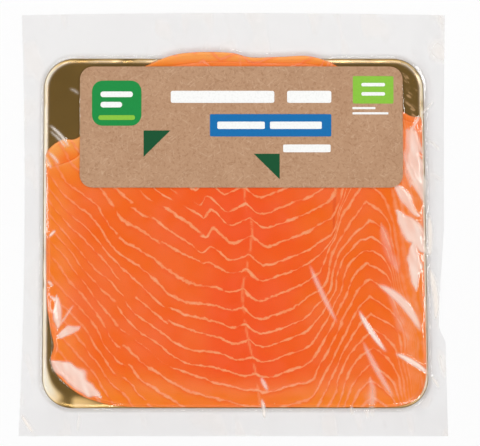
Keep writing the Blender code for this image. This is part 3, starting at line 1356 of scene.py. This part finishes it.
@dataclass(frozen=True)
class Crease:
    """A ridge in the film.

    Attributes:
        start: One end.
        end: The other end.
        bow: How far its middle stands off the straight line, to its left.
        height: How high it stands.
        width: How wide it is, from its crest to where it has sunk by two thirds.
        milk_and_glint: How strong the painted highlight along its crest is, drawn as milky white.
    """

    start: Point
    end: Point
    bow: float = 0.0
    height: float = 0.5
    width: float = 0.9
    milk_and_glint: float = 0.0

    def line(self) -> np.ndarray:
        """The crest from above, as an open line."""
        a, b = np.array(self.start), np.array(self.end)
        way = (b - a) / np.hypot(*(b - a))
        side = np.array((-way[1], way[0]))
        t = np.linspace(0.0, 1.0, 9)[:, None]
        return a + (b - a) * t + side * self.bow * 4 * t * (1 - t)


@dataclass(frozen=True)
class Tent:
    """A place where the film stands off what is under it, with a painted highlight on it drawn as
    milky white.

    Attributes:
        centre: Its middle.
        size: Its length and width.
        turn: The angle of its length from +X, in degrees.
        height: How far the film stands off.
        milk_and_glint: How strong its painted highlight is.
        soft: How far in from its edge its painted highlight is full, as a share.
        wander: How far its edge strays.
    """

    centre: Point
    size: Point
    turn: float = 0.0
    height: float = 0.3
    milk_and_glint: float = 0.6
    soft: float = 0.40
    wander: float = 0.9

    def share(self, x: np.ndarray, y: np.ndarray) -> np.ndarray:
        """How far inside the tent places are.

        Args:
            x: The places' x.
            y: The places' y.

        Returns:
            The share at each place, 1 in the tent's middle and 0 at its ragged edge.
        """
        angle = math.radians(self.turn)
        dx = x - self.centre[0] + self.wander * soft_noise(x, y, 4.0, 41)
        dy = y - self.centre[1] + self.wander * soft_noise(x, y, 4.0, 42)
        along = (dx * math.cos(angle) + dy * math.sin(angle)) / (self.size[0] / 2)
        across = (dy * math.cos(angle) - dx * math.sin(angle)) / (self.size[1] / 2)
        room = np.clip(1.0 - along**2, 1e-4, 1.0)
        ragged = 0.30 * soft_noise(along * 2.2, across * 1.6, 0.9, 43)
        return np.clip((1.0 - np.abs(across) / room + ragged) * (np.abs(along) < 1), 0.0, 1.0)


# The last number of each crease is the strength of the painted highlight along its crest.
FILM_CREASES = (
    # Over the upper left of the board and the lower slices' edge.
    Crease((-76.5, 63.5), (-71.3, 60.3), 0.3, 0.4, 0.6, 0.35),
    Crease((-86.2, 46.6), (-76.0, 35.6), 0.9, 0.6, 0.55, 1.00),
    Crease((-86.0, 44.0), (-77.4, 35.2), 0.5, 0.3, 0.45, 0.70),
    Crease((-86.2, 34.0), (-80.7, 27.7), 0.3, 0.5, 0.6, 0.6),
    Crease((-87.6, 32.3), (-84.4, 25.4), 0.0, 0.4, 0.6, 0.5),
    # Along the left edge.
    Crease((-85.8, -5.8), (-82.5, -2.6), 0.0, 0.4, 0.7, 0.7),
    Crease((-86.7, -26.3), (-83.9, -29.1), 0.4, 0.4, 0.8, 0.6),
    Crease((-85.3, -33.0), (-80.3, -35.0), -0.6, 0.4, 0.8, 0.55),
    Crease((-80.7, -35.4), (-82.1, -50.0), 0.8, 0.5, 1.0, 0.5),
    Crease((-82.1, -49.1), (-73.7, -36.6), 0.0, 0.3, 0.6, 0.35),
    # Over the slices, right of the middle.
    Crease((34.8, -17.5), (48.8, -46.8), -0.5, 0.5, 1.2, 0.36),
    Crease((57.6, -38.8), (71.6, -59.8), -0.8, 0.9, 1.2, 0.85),
    Crease((59.5, -52.9), (75.4, -81.7), -0.8, 0.5, 1.4, 0.34),
    Crease((66.0, -27.2), (87.5, -51.0), 3.4, 0.5, 2.2, 0.62),
    Crease((74.4, -59.4), (91.6, -70.1), 0.8, 0.9, 1.3, 0.80),
    Crease((91.6, -70.1), (96.0, -76.5), 0.3, 0.5, 0.8, 0.55),
    # The upper right, out to the margin.
    Crease((79.8, 31.4), (88.0, 14.6), -1.0, 0.8, 1.1, 0.65),
    Crease((84.0, 46.0), (89.0, 31.0), -0.6, 0.7, 1.0, 0.5),
    Crease((87.0, 50.5), (93.6, 58.0), 0.0, 0.6, 1.0, 0.3),
    Crease((80.7, 22.0), (90.0, 8.0), 0.8, 0.6, 0.9, 0.55),
    Crease((83.5, 3.0), (89.8, -8.0), 0.8, 0.6, 0.9, 0.5),
    Crease((90.8, -19.0), (94.0, -46.0), 1.6, 0.6, 1.3, 0.85),
    Crease((91.0, 6.0), (91.4, -16.0), 0.3, 0.5, 1.2, 0.85),
    Crease((83.0, 43.4), (87.6, 51.6), 0.4, 0.3, 0.5, 0.55),
    Crease((79.8, 42.0), (87.0, 51.0), -0.8, 0.3, 0.5, 0.45),
    Crease((89.6, 40.0), (96.4, 34.0), 0.4, 0.5, 0.9, 0.3),
    Crease((91.0, 24.0), (97.5, 20.0), 0.4, 0.5, 0.9, 0.25),
    # The lower edge.
    Crease((12.5, -70.5), (16.2, -77.5), 0.0, 0.4, 0.9, 0.6),
    Crease((12.9, -80.5), (14.4, -91.0), 0.5, 0.6, 0.9, 0.75),
    Crease((54.8, -84.0), (55.4, -89.0), 0.0, 0.4, 0.8, 0.5),
    Crease((61.8, -85.4), (62.6, -90.5), 0.0, 0.4, 0.8, 0.4),
    Crease((-71.5, -87.0), (-72.5, -97.0), 0.0, 0.4, 0.7, 0.25),
    # The clipped corner at the lower left.
    Crease((-99.0, -88.0), (-93.0, -97.5), 0.0, 0.6, 0.9, 0.7),
)

# The fifth number of each tent is the strength of its painted highlight.
FILM_TENTS = (
    Tent((-73.4, -72.0), (30.0, 10.5), -37.0, 0.5, 0.78),
    Tent((-81.5, -40.5), (16.0, 4.6), 92.0, 0.3, 0.72),
    Tent((-76.5, -49.5), (11.5, 4.6), 28.0, 0.3, 0.68),
    Tent((85.2, 28.0), (36.0, 8.6), 100.0, 0.4, 0.70),
    Tent((81.4, 31.0), (28.0, 6.0), 92.0, 0.3, 0.38),
    Tent((80.4, 11.6), (20.0, 6.2), -56.0, 0.4, 0.66),
    Tent((83.4, -3.6), (26.0, 10.5), -52.0, 0.4, 0.72),
    Tent((84.2, -19.6), (24.0, 8.0), -87.0, 0.4, 0.70),
    Tent((72.0, -11.0), (26.0, 7.0), 108.0, 0.1, 0.24, 1.0),
    Tent((76.4, -42.0), (26.0, 6.0), 112.0, 0.1, 0.16, 1.0),
    Tent((64.4, -80.0), (20.0, 6.0), 96.0, 0.1, 0.30, 0.8),
)


@dataclass
class Pouch:
    """The two films, sealed to each other round the board.

    Attributes:
        width: The pouch's width at its foot.
        depth: The pouch's depth.
        top_half_width: Half its width at its top.
        left_bow: How far the left edge bows inwards.
        top_bow: How far the top edge falls towards its corners.
        right_bow: How far the right edge bows inwards.
        right_dent: How deep the dent in the right edge is.
        dent_span: Where the dent starts, where it is deepest and where it ends, along y.
        suction: How hard the film is drawn down between two things that hold it up.
        suction_under_label: The same under the label, which stiffens it.
        drape_rounds: How long the film is drawn down.
        smoothing_rounds: How often the draped film is smoothed.
        film: How thick the film is.
        clearance: How far the film is kept off what is under it.
        floor_gap: How far the back film lies over the surface under the pack.
        wave_height: How high the sealed margin ripples.
        label_fade: Where the label's stiffness sets in, from outside its edge to inside.
        crest_in: How far inside the board's edge its rim's crest lies.
        crest_width: How wide the crest is.
        crest_left: Where the painted highlight along the crest sets in towards the left, along x.
        crest_right: The same towards the right.
        crest_top: The same towards the top, along y.
        crest_ends: Where that fades again towards the top and the foot.
        beside_right: Where the painted shade right of the board sets in, along x.
        below: Where the painted shade below the board sets in, along y.
        front_cells: How many cells the front film's mesh has each way.
        back_cells: How many cells the back film's mesh has each way.
        creases: The ridges in the front film.
        tents: The places where the front film stands off, with painted highlights on them.
    """

    width: float = 200.0
    depth: float = 197.0
    top_half_width: float = 98.5
    left_bow: float = 2.0
    top_bow: float = 1.1
    right_bow: float = 1.2
    right_dent: float = 3.0
    dent_span: tuple = (-56.0, -47.0, 5.0)
    suction: float = 0.50
    suction_under_label: float = 0.06
    drape_rounds: int = 260
    smoothing_rounds: int = 8
    film: float = 0.10
    clearance: float = 0.04
    floor_gap: float = 0.02
    wave_height: float = 1.1
    label_fade: Span = (-2.0, 2.0)
    crest_in: float = 0.9
    crest_width: float = 0.75
    crest_left: Span = (-66.0, -84.0)
    crest_right: Span = (76.0, 88.0)
    crest_top: Span = (66.0, 77.0)
    crest_ends: Span = (84.0, 72.0)
    beside_right: Span = (82.0, 88.0)
    below: Span = (-80.0, -90.0)
    front_cells: int = 300
    back_cells: int = 90
    creases: tuple = FILM_CREASES
    tents: tuple = FILM_TENTS

    def place(self, square: np.ndarray) -> np.ndarray:
        """Where points of the square from -1 to 1 lie on the film, from above.

        Args:
            square: Points of the square.

        Returns:
            Their places inside the film's cut edge.
        """
        u, v = square[:, 0], square[:, 1]
        half_width, half_depth = self.width / 2, self.depth / 2
        x = u * (half_width + (self.top_half_width - half_width) * (v + 1) / 2)
        y = v * (half_depth - self.top_bow * np.maximum(v, 0.0) * u * u)
        bow = 1 - v * v
        foot, deepest, top = self.dent_span
        dent = np.minimum(ease(foot, deepest, y), ease(top, deepest, y))
        inward_left = self.left_bow * bow * np.maximum(-u, 0.0)
        inward_right = (self.right_bow * bow + self.right_dent * dent) * np.maximum(u, 0.0)
        return np.stack((x + inward_left - inward_right, y), axis=-1)

    def margin_wave(self, x: np.ndarray, y: np.ndarray, outside: np.ndarray) -> np.ndarray:
        """How far the sealed margin ripples up off the floor.

        Args:
            x: The places' x.
            y: The places' y.
            outside: How far they are outside the board.

        Returns:
            The ripple's height.
        """
        around = np.arctan2(y, x)
        ripple = soft_noise(around * 95.0, outside, 9.0, 51) + 0.5 * soft_noise(x, y, 7.0, 52)
        right = 0.35 + 0.45 * ease(30.0, 90.0, x)
        return self.wave_height * ease(-0.9, 1.3, ripple) * right * ease(2.0, 8.0, outside)

    def front(
        self, raster: Raster, board: Board, stack: SalmonStack, label_edge: np.ndarray
    ) -> tuple[np.ndarray, dict, np.ndarray]:
        """The front film's height and what its material reads.

        Args:
            raster: The raster to work on.
            board: The card.
            stack: The slices.
            label_edge: The cut edge of the label, under which the film is drawn down less.

        Returns:
            The film's height, what its material reads by name, and the back film's height.
        """
        x, y = raster.x, raster.y
        on_board = depth_inside(x, y, board.outline())
        outside = np.maximum(-on_board, 0.0)
        back = self.floor_gap + self.margin_wave(x, y, outside)
        _, fish, _, _ = stack.heights(x, y, board)
        on_fish = depth_inside(x, y, closed_curve(stack.lower_outline))
        card = np.where(on_board > 0, board.top(np.maximum(on_board, 0.0)), 0.0)
        contents = np.where(on_fish > 0, fish, card)
        contents = np.maximum(contents, back) + self.film
        under_label = ease(*self.label_fade, depth_inside(x, y, label_edge))
        film = self.draped(contents, under_label, raster.pitch)
        # Painted highlights on the margin and along the crest of the board's rim.
        milk_and_glint = np.maximum(
            self.margin_glints(x, y, outside), self.rim_crest_glint(x, y, on_board, on_fish)
        )
        film, milk_and_glint = self.with_tents(x, y, film, milk_and_glint)
        film, milk_and_glint = self.with_creases(x, y, film, milk_and_glint)
        fine = soft_noise(x + 0.4 * y, 4.0 * y, 5.0, 61) * ease(60.0, 88.0, x)
        film = film + 0.05 * fine * (under_label < 0.5)
        fields = {"milk_and_glint": milk_and_glint * (1 - under_label), **self.shade_and_sheen(x, y, outside)}
        return film, fields, back

    def draped(self, contents: np.ndarray, under_label: np.ndarray, pitch: float) -> np.ndarray:
        """The film drawn down over what is under it.

        Args:
            contents: The height of what is under it.
            under_label: The share of label over each place.
            pitch: The distance between the raster's points.

        Returns:
            The film's height.
        """
        pull = self.suction + (self.suction_under_label - self.suction) * under_label
        sink = pull * pitch**2 / 4
        film = np.full(contents.shape, contents.max())
        for _ in range(self.drape_rounds):
            film = np.maximum(contents, blurred(film, 1) - sink)
        return blurred(film, self.smoothing_rounds) + self.clearance

    def margin_glints(self, x: np.ndarray, y: np.ndarray, outside: np.ndarray) -> np.ndarray:
        """The painted highlights of the sealed margin, milky white in slanting streaks, stronger
        towards the right.

        Args:
            x: The places' x.
            y: The places' y.
            outside: How far they are outside the board.

        Returns:
            The strength of the painted highlight.
        """
        streaks = soft_noise(x + 0.2 * y, 0.3 * y, 4.0, 71) + 0.6 * soft_noise(x, y, 9.0, 72)
        side = 0.45 + 0.55 * ease(80.0, 95.0, x)
        return 0.40 * side * ease(0.15, 1.1, streaks) * ease(0.0, 5.0, outside)

    def rim_crest_glint(
        self, x: np.ndarray, y: np.ndarray, on_board: np.ndarray, on_fish: np.ndarray
    ) -> np.ndarray:
        """The painted highlight, milky white, on the film over the crest of the board's drawn-up
        rim, strongest at the left.

        Args:
            x: The places' x.
            y: The places' y.
            on_board: How deep they lie inside the board's edge.
            on_fish: How deep they lie inside the fish's edge.

        Returns:
            The strength of the painted highlight.
        """
        crest = np.exp(-(((on_board - self.crest_in) / self.crest_width) ** 2))
        shine = 0.90 * ease(*self.crest_left, x) + 0.50 * ease(*self.crest_top, y)
        shine = shine + 0.55 * ease(*self.crest_right, x)
        shine = shine * ease(*self.crest_ends, np.abs(y))
        patchy = ease(-1.1, -0.1, soft_noise(x, y, 12.0, 73)) * ease(0.5, -0.5, on_fish)
        return crest * np.minimum(shine, 0.85) * patchy

    def with_tents(
        self, x: np.ndarray, y: np.ndarray, film: np.ndarray, milk_and_glint: np.ndarray
    ) -> tuple[np.ndarray, np.ndarray]:
        """The film and its painted highlights with the tents put in.

        Args:
            x: The places' x.
            y: The places' y.
            film: The film's height.
            milk_and_glint: The strength of the painted highlights so far.

        Returns:
            The height and the strength of the painted highlights.
        """
        streak = 0.86 + 0.20 * soft_noise(x + 0.35 * y, 0.25 * y, 1.8, 44)
        for tent in self.tents:
            share = tent.share(x, y)
            film = film + tent.height * ease(0.0, 0.8, share)
            # Painted highlight over each tent, in streaks.
            milk_and_glint = np.maximum(milk_and_glint, tent.milk_and_glint * streak * ease(0.05, tent.soft, share))
        return film, milk_and_glint

    def with_creases(
        self, x: np.ndarray, y: np.ndarray, film: np.ndarray, milk_and_glint: np.ndarray
    ) -> tuple[np.ndarray, np.ndarray]:
        """The film and its painted highlights with the creases put in.

        Args:
            x: The places' x.
            y: The places' y.
            film: The film's height.
            milk_and_glint: The strength of the painted highlights so far.

        Returns:
            The height and the strength of the painted highlights.
        """
        for crease in self.creases:
            gap, along = distance_to_line(x, y, crease.line())
            taper = np.sqrt(np.clip(np.sin(np.pi * np.clip(along, 0.02, 0.98)), 0.0, 1.0))
            form = np.exp(-((gap / (crease.width * (0.4 + 0.6 * taper))) ** 2)) * taper
            film = film + crease.height * form
            # Painted highlight along each crease's crest.
            milk_and_glint = np.maximum(milk_and_glint, crease.milk_and_glint * ease(0.25, 0.75, form))
        return film, milk_and_glint

    def shade_and_sheen(self, x: np.ndarray, y: np.ndarray, outside: np.ndarray) -> dict:
        """The film's painted shade right of and below the board, and how glossy it is where both
        films lie together.

        Args:
            x: The places' x.
            y: The places' y.
            outside: How far they are outside the board.

        Returns:
            The stored values by name.
        """
        near_right = ease(*self.beside_right, x)
        # Painted shade: the film is darker right of the board and below it, with a little noise.
        painted_shade = near_right * ease(7.0, 1.0, outside) + 0.30 * ease(*self.below, y)
        painted_shade = (painted_shade + 0.12 * soft_noise(x, 0.3 * y, 9.0, 74)) * ease(-0.5, 1.0, outside)
        sheen = 1.0 - 0.75 * ease(-0.6, 0.4, outside) * (1.0 - near_right)
        return {"painted_shade": np.clip(painted_shade, 0.0, 1.0), "sheen": sheen}

    def build(
        self, film: np.ndarray, fields: dict, back: np.ndarray, raster: Raster, finish: ClearFilm
    ) -> list[bpy.types.Object]:
        """Makes both films.

        Args:
            film: The front film's height on the raster.
            fields: What its material reads, by name, on the raster.
            back: The back film's height.
            raster: The raster.
            finish: The film's finish.

        Returns:
            The front film and the back film.
        """
        front = self.sheet("film_front", film, self.front_cells, raster)
        x, y = self.place(square_grid(self.front_cells)[0]).T
        for name, values in fields.items():
            add_values(front, name, raster.read(values, x, y))
        front.data.materials.append(finish.material("clear_film_front", paints_glint_and_shade=True))
        rear = self.sheet("film_back", back, self.back_cells, raster)
        rear.data.materials.append(finish.material("clear_film_back", paints_glint_and_shade=False))
        return [front, rear]

    def sheet(
        self, name: str, height: np.ndarray, cells: int, raster: Raster
    ) -> bpy.types.Object:
        """One film as an open sheet.

        Args:
            name: The piece's name.
            height: Its height on the raster.
            cells: How many cells it has each way.
            raster: The raster.

        Returns:
            The sheet.
        """
        square, quads = square_grid(cells)
        places = self.place(square)
        over = raster.read(height, places[:, 0], places[:, 1])
        return mesh_object(name, np.column_stack((places, over)), quads)


@dataclass(frozen=True)
class PrintField:
    """One flat field of the label's print, with round corners.

    Attributes:
        name: The piece's name.
        centre: Its middle.
        size: Its width and depth.
        corner: The radius of its corners.
        ink: Its ink.
        layer: How many fields lie under it.
    """

    name: str
    centre: Point
    size: Point
    corner: float
    ink: Ink
    layer: int = 0

    def outline(self) -> np.ndarray:
        """The field's edge."""
        return rounded_rectangle(self.centre, self.size, self.corner, arc=8)


@dataclass(frozen=True)
class PrintFin(PrintField):
    """A three-sided field, its square corner at the upper left or the upper right.

    Attributes:
        flip: Whether the square corner is at the upper right.
    """

    flip: bool = False

    def outline(self) -> np.ndarray:
        """The field's edge."""
        width, depth = self.size
        points = np.array(((0.0, 0.0), (0.0, -1.0), (1.0, 0.0)))
        scaled = points * (-width if self.flip else width, depth)
        return scaled + self.centre


PRINT = (
    PrintField("print_badge", (-54.1, 56.3), (23.0, 21.0), 5.0, Ink.GREEN),
    PrintField("print_badge_foot", (-54.1, 49.6), (17.0, 2.2), 1.0, Ink.LIGHT_GREEN, 1),
    PrintField("print_badge_bar_upper", (-54.1, 60.4), (15.0, 2.6), 1.2, Ink.WHITE, 1),
    PrintField("print_badge_bar_lower", (-56.6, 55.6), (10.0, 2.6), 1.2, Ink.WHITE, 1),
    PrintField("print_title_long", (-5.0, 59.2), (48.0, 5.6), 0.9, Ink.WHITE),
    PrintField("print_title_short", (35.2, 59.2), (20.5, 5.6), 0.9, Ink.WHITE),
    PrintField("print_blue_field", (17.3, 46.0), (56.3, 10.4), 0.4, Ink.BLUE),
    PrintField("print_blue_bar_first", (3.6, 46.0), (22.0, 3.4), 0.6, Ink.WHITE, 1),
    PrintField("print_blue_bar_second", (29.0, 46.0), (24.0, 3.4), 0.6, Ink.WHITE, 1),
    PrintField("print_short_bar", (34.1, 35.3), (22.0, 3.6), 0.6, Ink.WHITE),
    PrintField("print_side_field", (64.9, 62.5), (18.9, 12.8), 0.4, Ink.LIGHT_GREEN),
    PrintField("print_side_bar_first", (64.9, 64.9), (11.0, 1.6), 0.7, Ink.WHITE, 1),
    PrintField("print_side_bar_second", (64.9, 60.6), (11.0, 1.6), 0.7, Ink.WHITE, 1),
    PrintField("print_note_first", (60.6, 54.0), (10.7, 1.0), 0.3, Ink.WHITE),
    PrintField("print_note_second", (63.6, 51.6), (16.7, 1.0), 0.3, Ink.WHITE),
    PrintFin("print_fin_left", (-41.6, 43.6), (12.4, 12.2), 0.0, Ink.DARK_GREEN),
    PrintFin("print_fin_right", (21.5, 32.8), (12.0, 11.8), 0.0, Ink.DARK_GREEN, flip=True),
)


@dataclass
class Label:
    """The kraft label on the outside of the front film, with its print.

    Attributes:
        centre: Its middle.
        size: Its width and depth.
        corner: The radius of its corners.
        gap: How far it lies over the film.
        thickness: How thick the paper is.
        smoothing_rounds: How often the film's height is smoothed for the stiffer paper.
        cells: How many cells its mesh has each way.
        print_cells: How many cells the mesh of one printed field has each way.
        print_lift: How far each printed field lies over the one under it.
        print_thickness: How thick a printed field is.
    """

    centre: Point = (3.7, 45.3)
    size: Point = (150.0, 56.3)
    corner: float = 6.0
    gap: float = 0.10
    thickness: float = 0.16
    smoothing_rounds: int = 12
    cells: int = 110
    print_cells: int = 16
    print_lift: float = 0.05
    print_thickness: float = 0.03

    def outline(self) -> np.ndarray:
        """The label's cut edge."""
        return rounded_rectangle(self.centre, self.size, self.corner, arc=10)

    def build(self, film: np.ndarray, raster: Raster, paper: KraftPaper) -> list:
        """Makes the label and its print.

        Args:
            film: The front film's height on the raster.
            raster: The raster.
            paper: The paper's finish.

        Returns:
            The label first, then each field of its print.
        """
        under = blurred(film, self.smoothing_rounds)
        square, _ = square_grid(self.cells)
        places = spread_over(square, self.outline())
        bottom = raster.read(under, places[:, 0], places[:, 1]) + self.gap
        sheet = solid_slab("kraft_label", self.cells, places, bottom + self.thickness, bottom)
        sheet.data.materials.append(paper.material("kraft_paper"))
        pieces = [sheet]
        inks = {ink: ink.material() for ink in Ink}
        square, _ = square_grid(self.print_cells)
        for item in PRINT:
            places = spread_over(square, item.outline())
            face = raster.read(under, places[:, 0], places[:, 1]) + self.gap + self.thickness
            bottom = face + self.print_lift * (0.4 + item.layer)
            patch = solid_slab(
                item.name, self.print_cells, places, bottom + self.print_thickness, bottom
            )
            patch.data.materials.append(inks[item.ink])
            pieces.append(patch)
        return pieces


@dataclass
class SalmonPack:
    """The whole pack."""

    board: Board = field(default_factory=Board)
    stack: SalmonStack = field(default_factory=SalmonStack)
    pouch: Pouch = field(default_factory=Pouch)
    label: Label = field(default_factory=Label)

    def build(self) -> None:
        """Makes every piece, hangs it on the pack's body and replaces the frame's solids."""
        raster = Raster()
        contents = self.board.build(GoldCard()) + self.stack.build(self.board, SalmonFlesh())
        edge = self.label.outline()
        film, fields, back = self.pouch.front(raster, self.board, self.stack, edge)
        films = self.pouch.build(film, fields, back, raster, ClearFilm())
        paper = self.label.build(film, raster, KraftPaper())
        for piece in contents + films:
            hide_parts("pouch")
        for piece in paper:
            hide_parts("label")
        for piece in contents + films + paper:
            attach(piece, BODY)
            LOG.info("%s: %d faces", piece.name, len(piece.data.polygons))


# --- The studio --------------------------------------------------------------------------


@dataclass(frozen=True)
class Softbox:
    """A long narrow lamp that faces the pack.

    Attributes:
        azimuth: Where it stands, in degrees anticlockwise from +X.
        tilt: How far it is from straight overhead, in degrees.
        radiance: How bright its face is.
        distance: How far it stands from the pack, in metres.
        length: How long its face is, in metres.
        breadth: How broad its face is, in metres.
    """

    azimuth: float
    tilt: float = 48.0
    radiance: float = 16.5
    distance: float = 1.0
    length: float = 1.0
    breadth: float = 0.07

    def build(self) -> bpy.types.Object:
        """Makes the lamp."""
        around, down = math.radians(self.azimuth), math.radians(self.tilt)
        data = bpy.data.lights.new("softbox", "AREA")
        data.shape = "RECTANGLE"
        data.size = self.length
        data.size_y = self.breadth
        data.energy = self.radiance * math.pi * self.length * self.breadth
        lamp = bpy.data.objects.new("softbox", data)
        out = self.distance * math.sin(down)
        up = self.distance * math.cos(down)
        lamp.location = (out * math.cos(around), out * math.sin(around), up)
        lamp.rotation_euler = (down, 0.0, around + math.pi / 2)
        bpy.context.scene.collection.objects.link(lamp)
        return lamp


@dataclass
class Studio:
    """A pale floor, soft lamps, a sky that is dark overhead, and the camera.

    Attributes:
        lamps: The lamps.
        floor_half: Half the floor's width, in metres.
        floor_height: The floor's height, in metres.
        horizon: How bright the sky is at the horizon.
        zenith: How bright it is overhead.
        fade_span: The sines of the heights between which the sky darkens.
        look_at: The place that the camera stands over.
        framed_width: The width that the picture takes in.
        camera_height: How high the camera stands, in metres.
        sensor: The width of the camera's sensor.
    """

    lamps: tuple = tuple(Softbox(azimuth) for azimuth in (20.0, 105.0, 195.0, 285.0))
    floor_half: float = 6.0
    floor_height: float = -0.0003
    horizon: float = 0.85
    zenith: float = 0.14
    fade_span: Point = (0.10, 0.50)
    look_at: Point = (3.1, 0.7)
    framed_width: float = 223.5
    camera_height: float = 1.2
    sensor: float = 36.0

    def build(self) -> None:
        """Makes the studio."""
        self.make_floor()
        self.make_sky()
        self.make_camera()
        for lamp in self.lamps:
            lamp.build()
        bpy.context.scene.view_settings.view_transform = "Standard"

    def make_floor(self) -> None:
        """The floor, just under the pack."""
        bpy.ops.mesh.primitive_grid_add(
            x_subdivisions=8, y_subdivisions=8, size=2 * self.floor_half,
            location=(0.0, 0.0, self.floor_height),
        )
        floor = bpy.context.object
        floor.name = "studio_floor"
        floor.data.materials.append(StudioWhite().material("studio_white"))

    def make_sky(self) -> None:
        """A sky that is pale at the horizon and dim overhead."""
        world = bpy.data.worlds.new("studio_sky")
        world.use_nodes = True
        tree = world.node_tree
        tree.nodes.clear()
        way = tree.nodes.new("ShaderNodeTexCoord")
        parts = tree.nodes.new("ShaderNodeSeparateXYZ")
        fade = tree.nodes.new("ShaderNodeMapRange")
        fade.interpolation_type = "SMOOTHSTEP"
        fade.inputs["From Min"].default_value = self.fade_span[0]
        fade.inputs["From Max"].default_value = self.fade_span[1]
        fade.inputs["To Min"].default_value = self.horizon
        fade.inputs["To Max"].default_value = self.zenith
        light = tree.nodes.new("ShaderNodeBackground")
        out = tree.nodes.new("ShaderNodeOutputWorld")
        tree.links.new(way.outputs["Generated"], parts.inputs[0])
        tree.links.new(parts.outputs["Z"], fade.inputs["Value"])
        tree.links.new(fade.outputs["Result"], light.inputs["Strength"])
        tree.links.new(light.outputs[0], out.inputs["Surface"])
        bpy.context.scene.world = world

    def make_camera(self) -> None:
        """A long lens straight over the pack."""
        data = bpy.data.cameras.new("camera")
        data.sensor_width = self.sensor
        data.lens = self.sensor * self.camera_height / (self.framed_width * MM)
        data.clip_end = 100.0
        camera = bpy.data.objects.new("camera", data)
        camera.location = (self.look_at[0] * MM, self.look_at[1] * MM, self.camera_height)
        bpy.context.scene.collection.objects.link(camera)
        bpy.context.scene.camera = camera


def main() -> None:
    """Builds the pack and its studio."""
    logging.basicConfig(level=logging.INFO)
    Studio().build()
    SalmonPack().build()


if __name__ == "__main__":
    main()
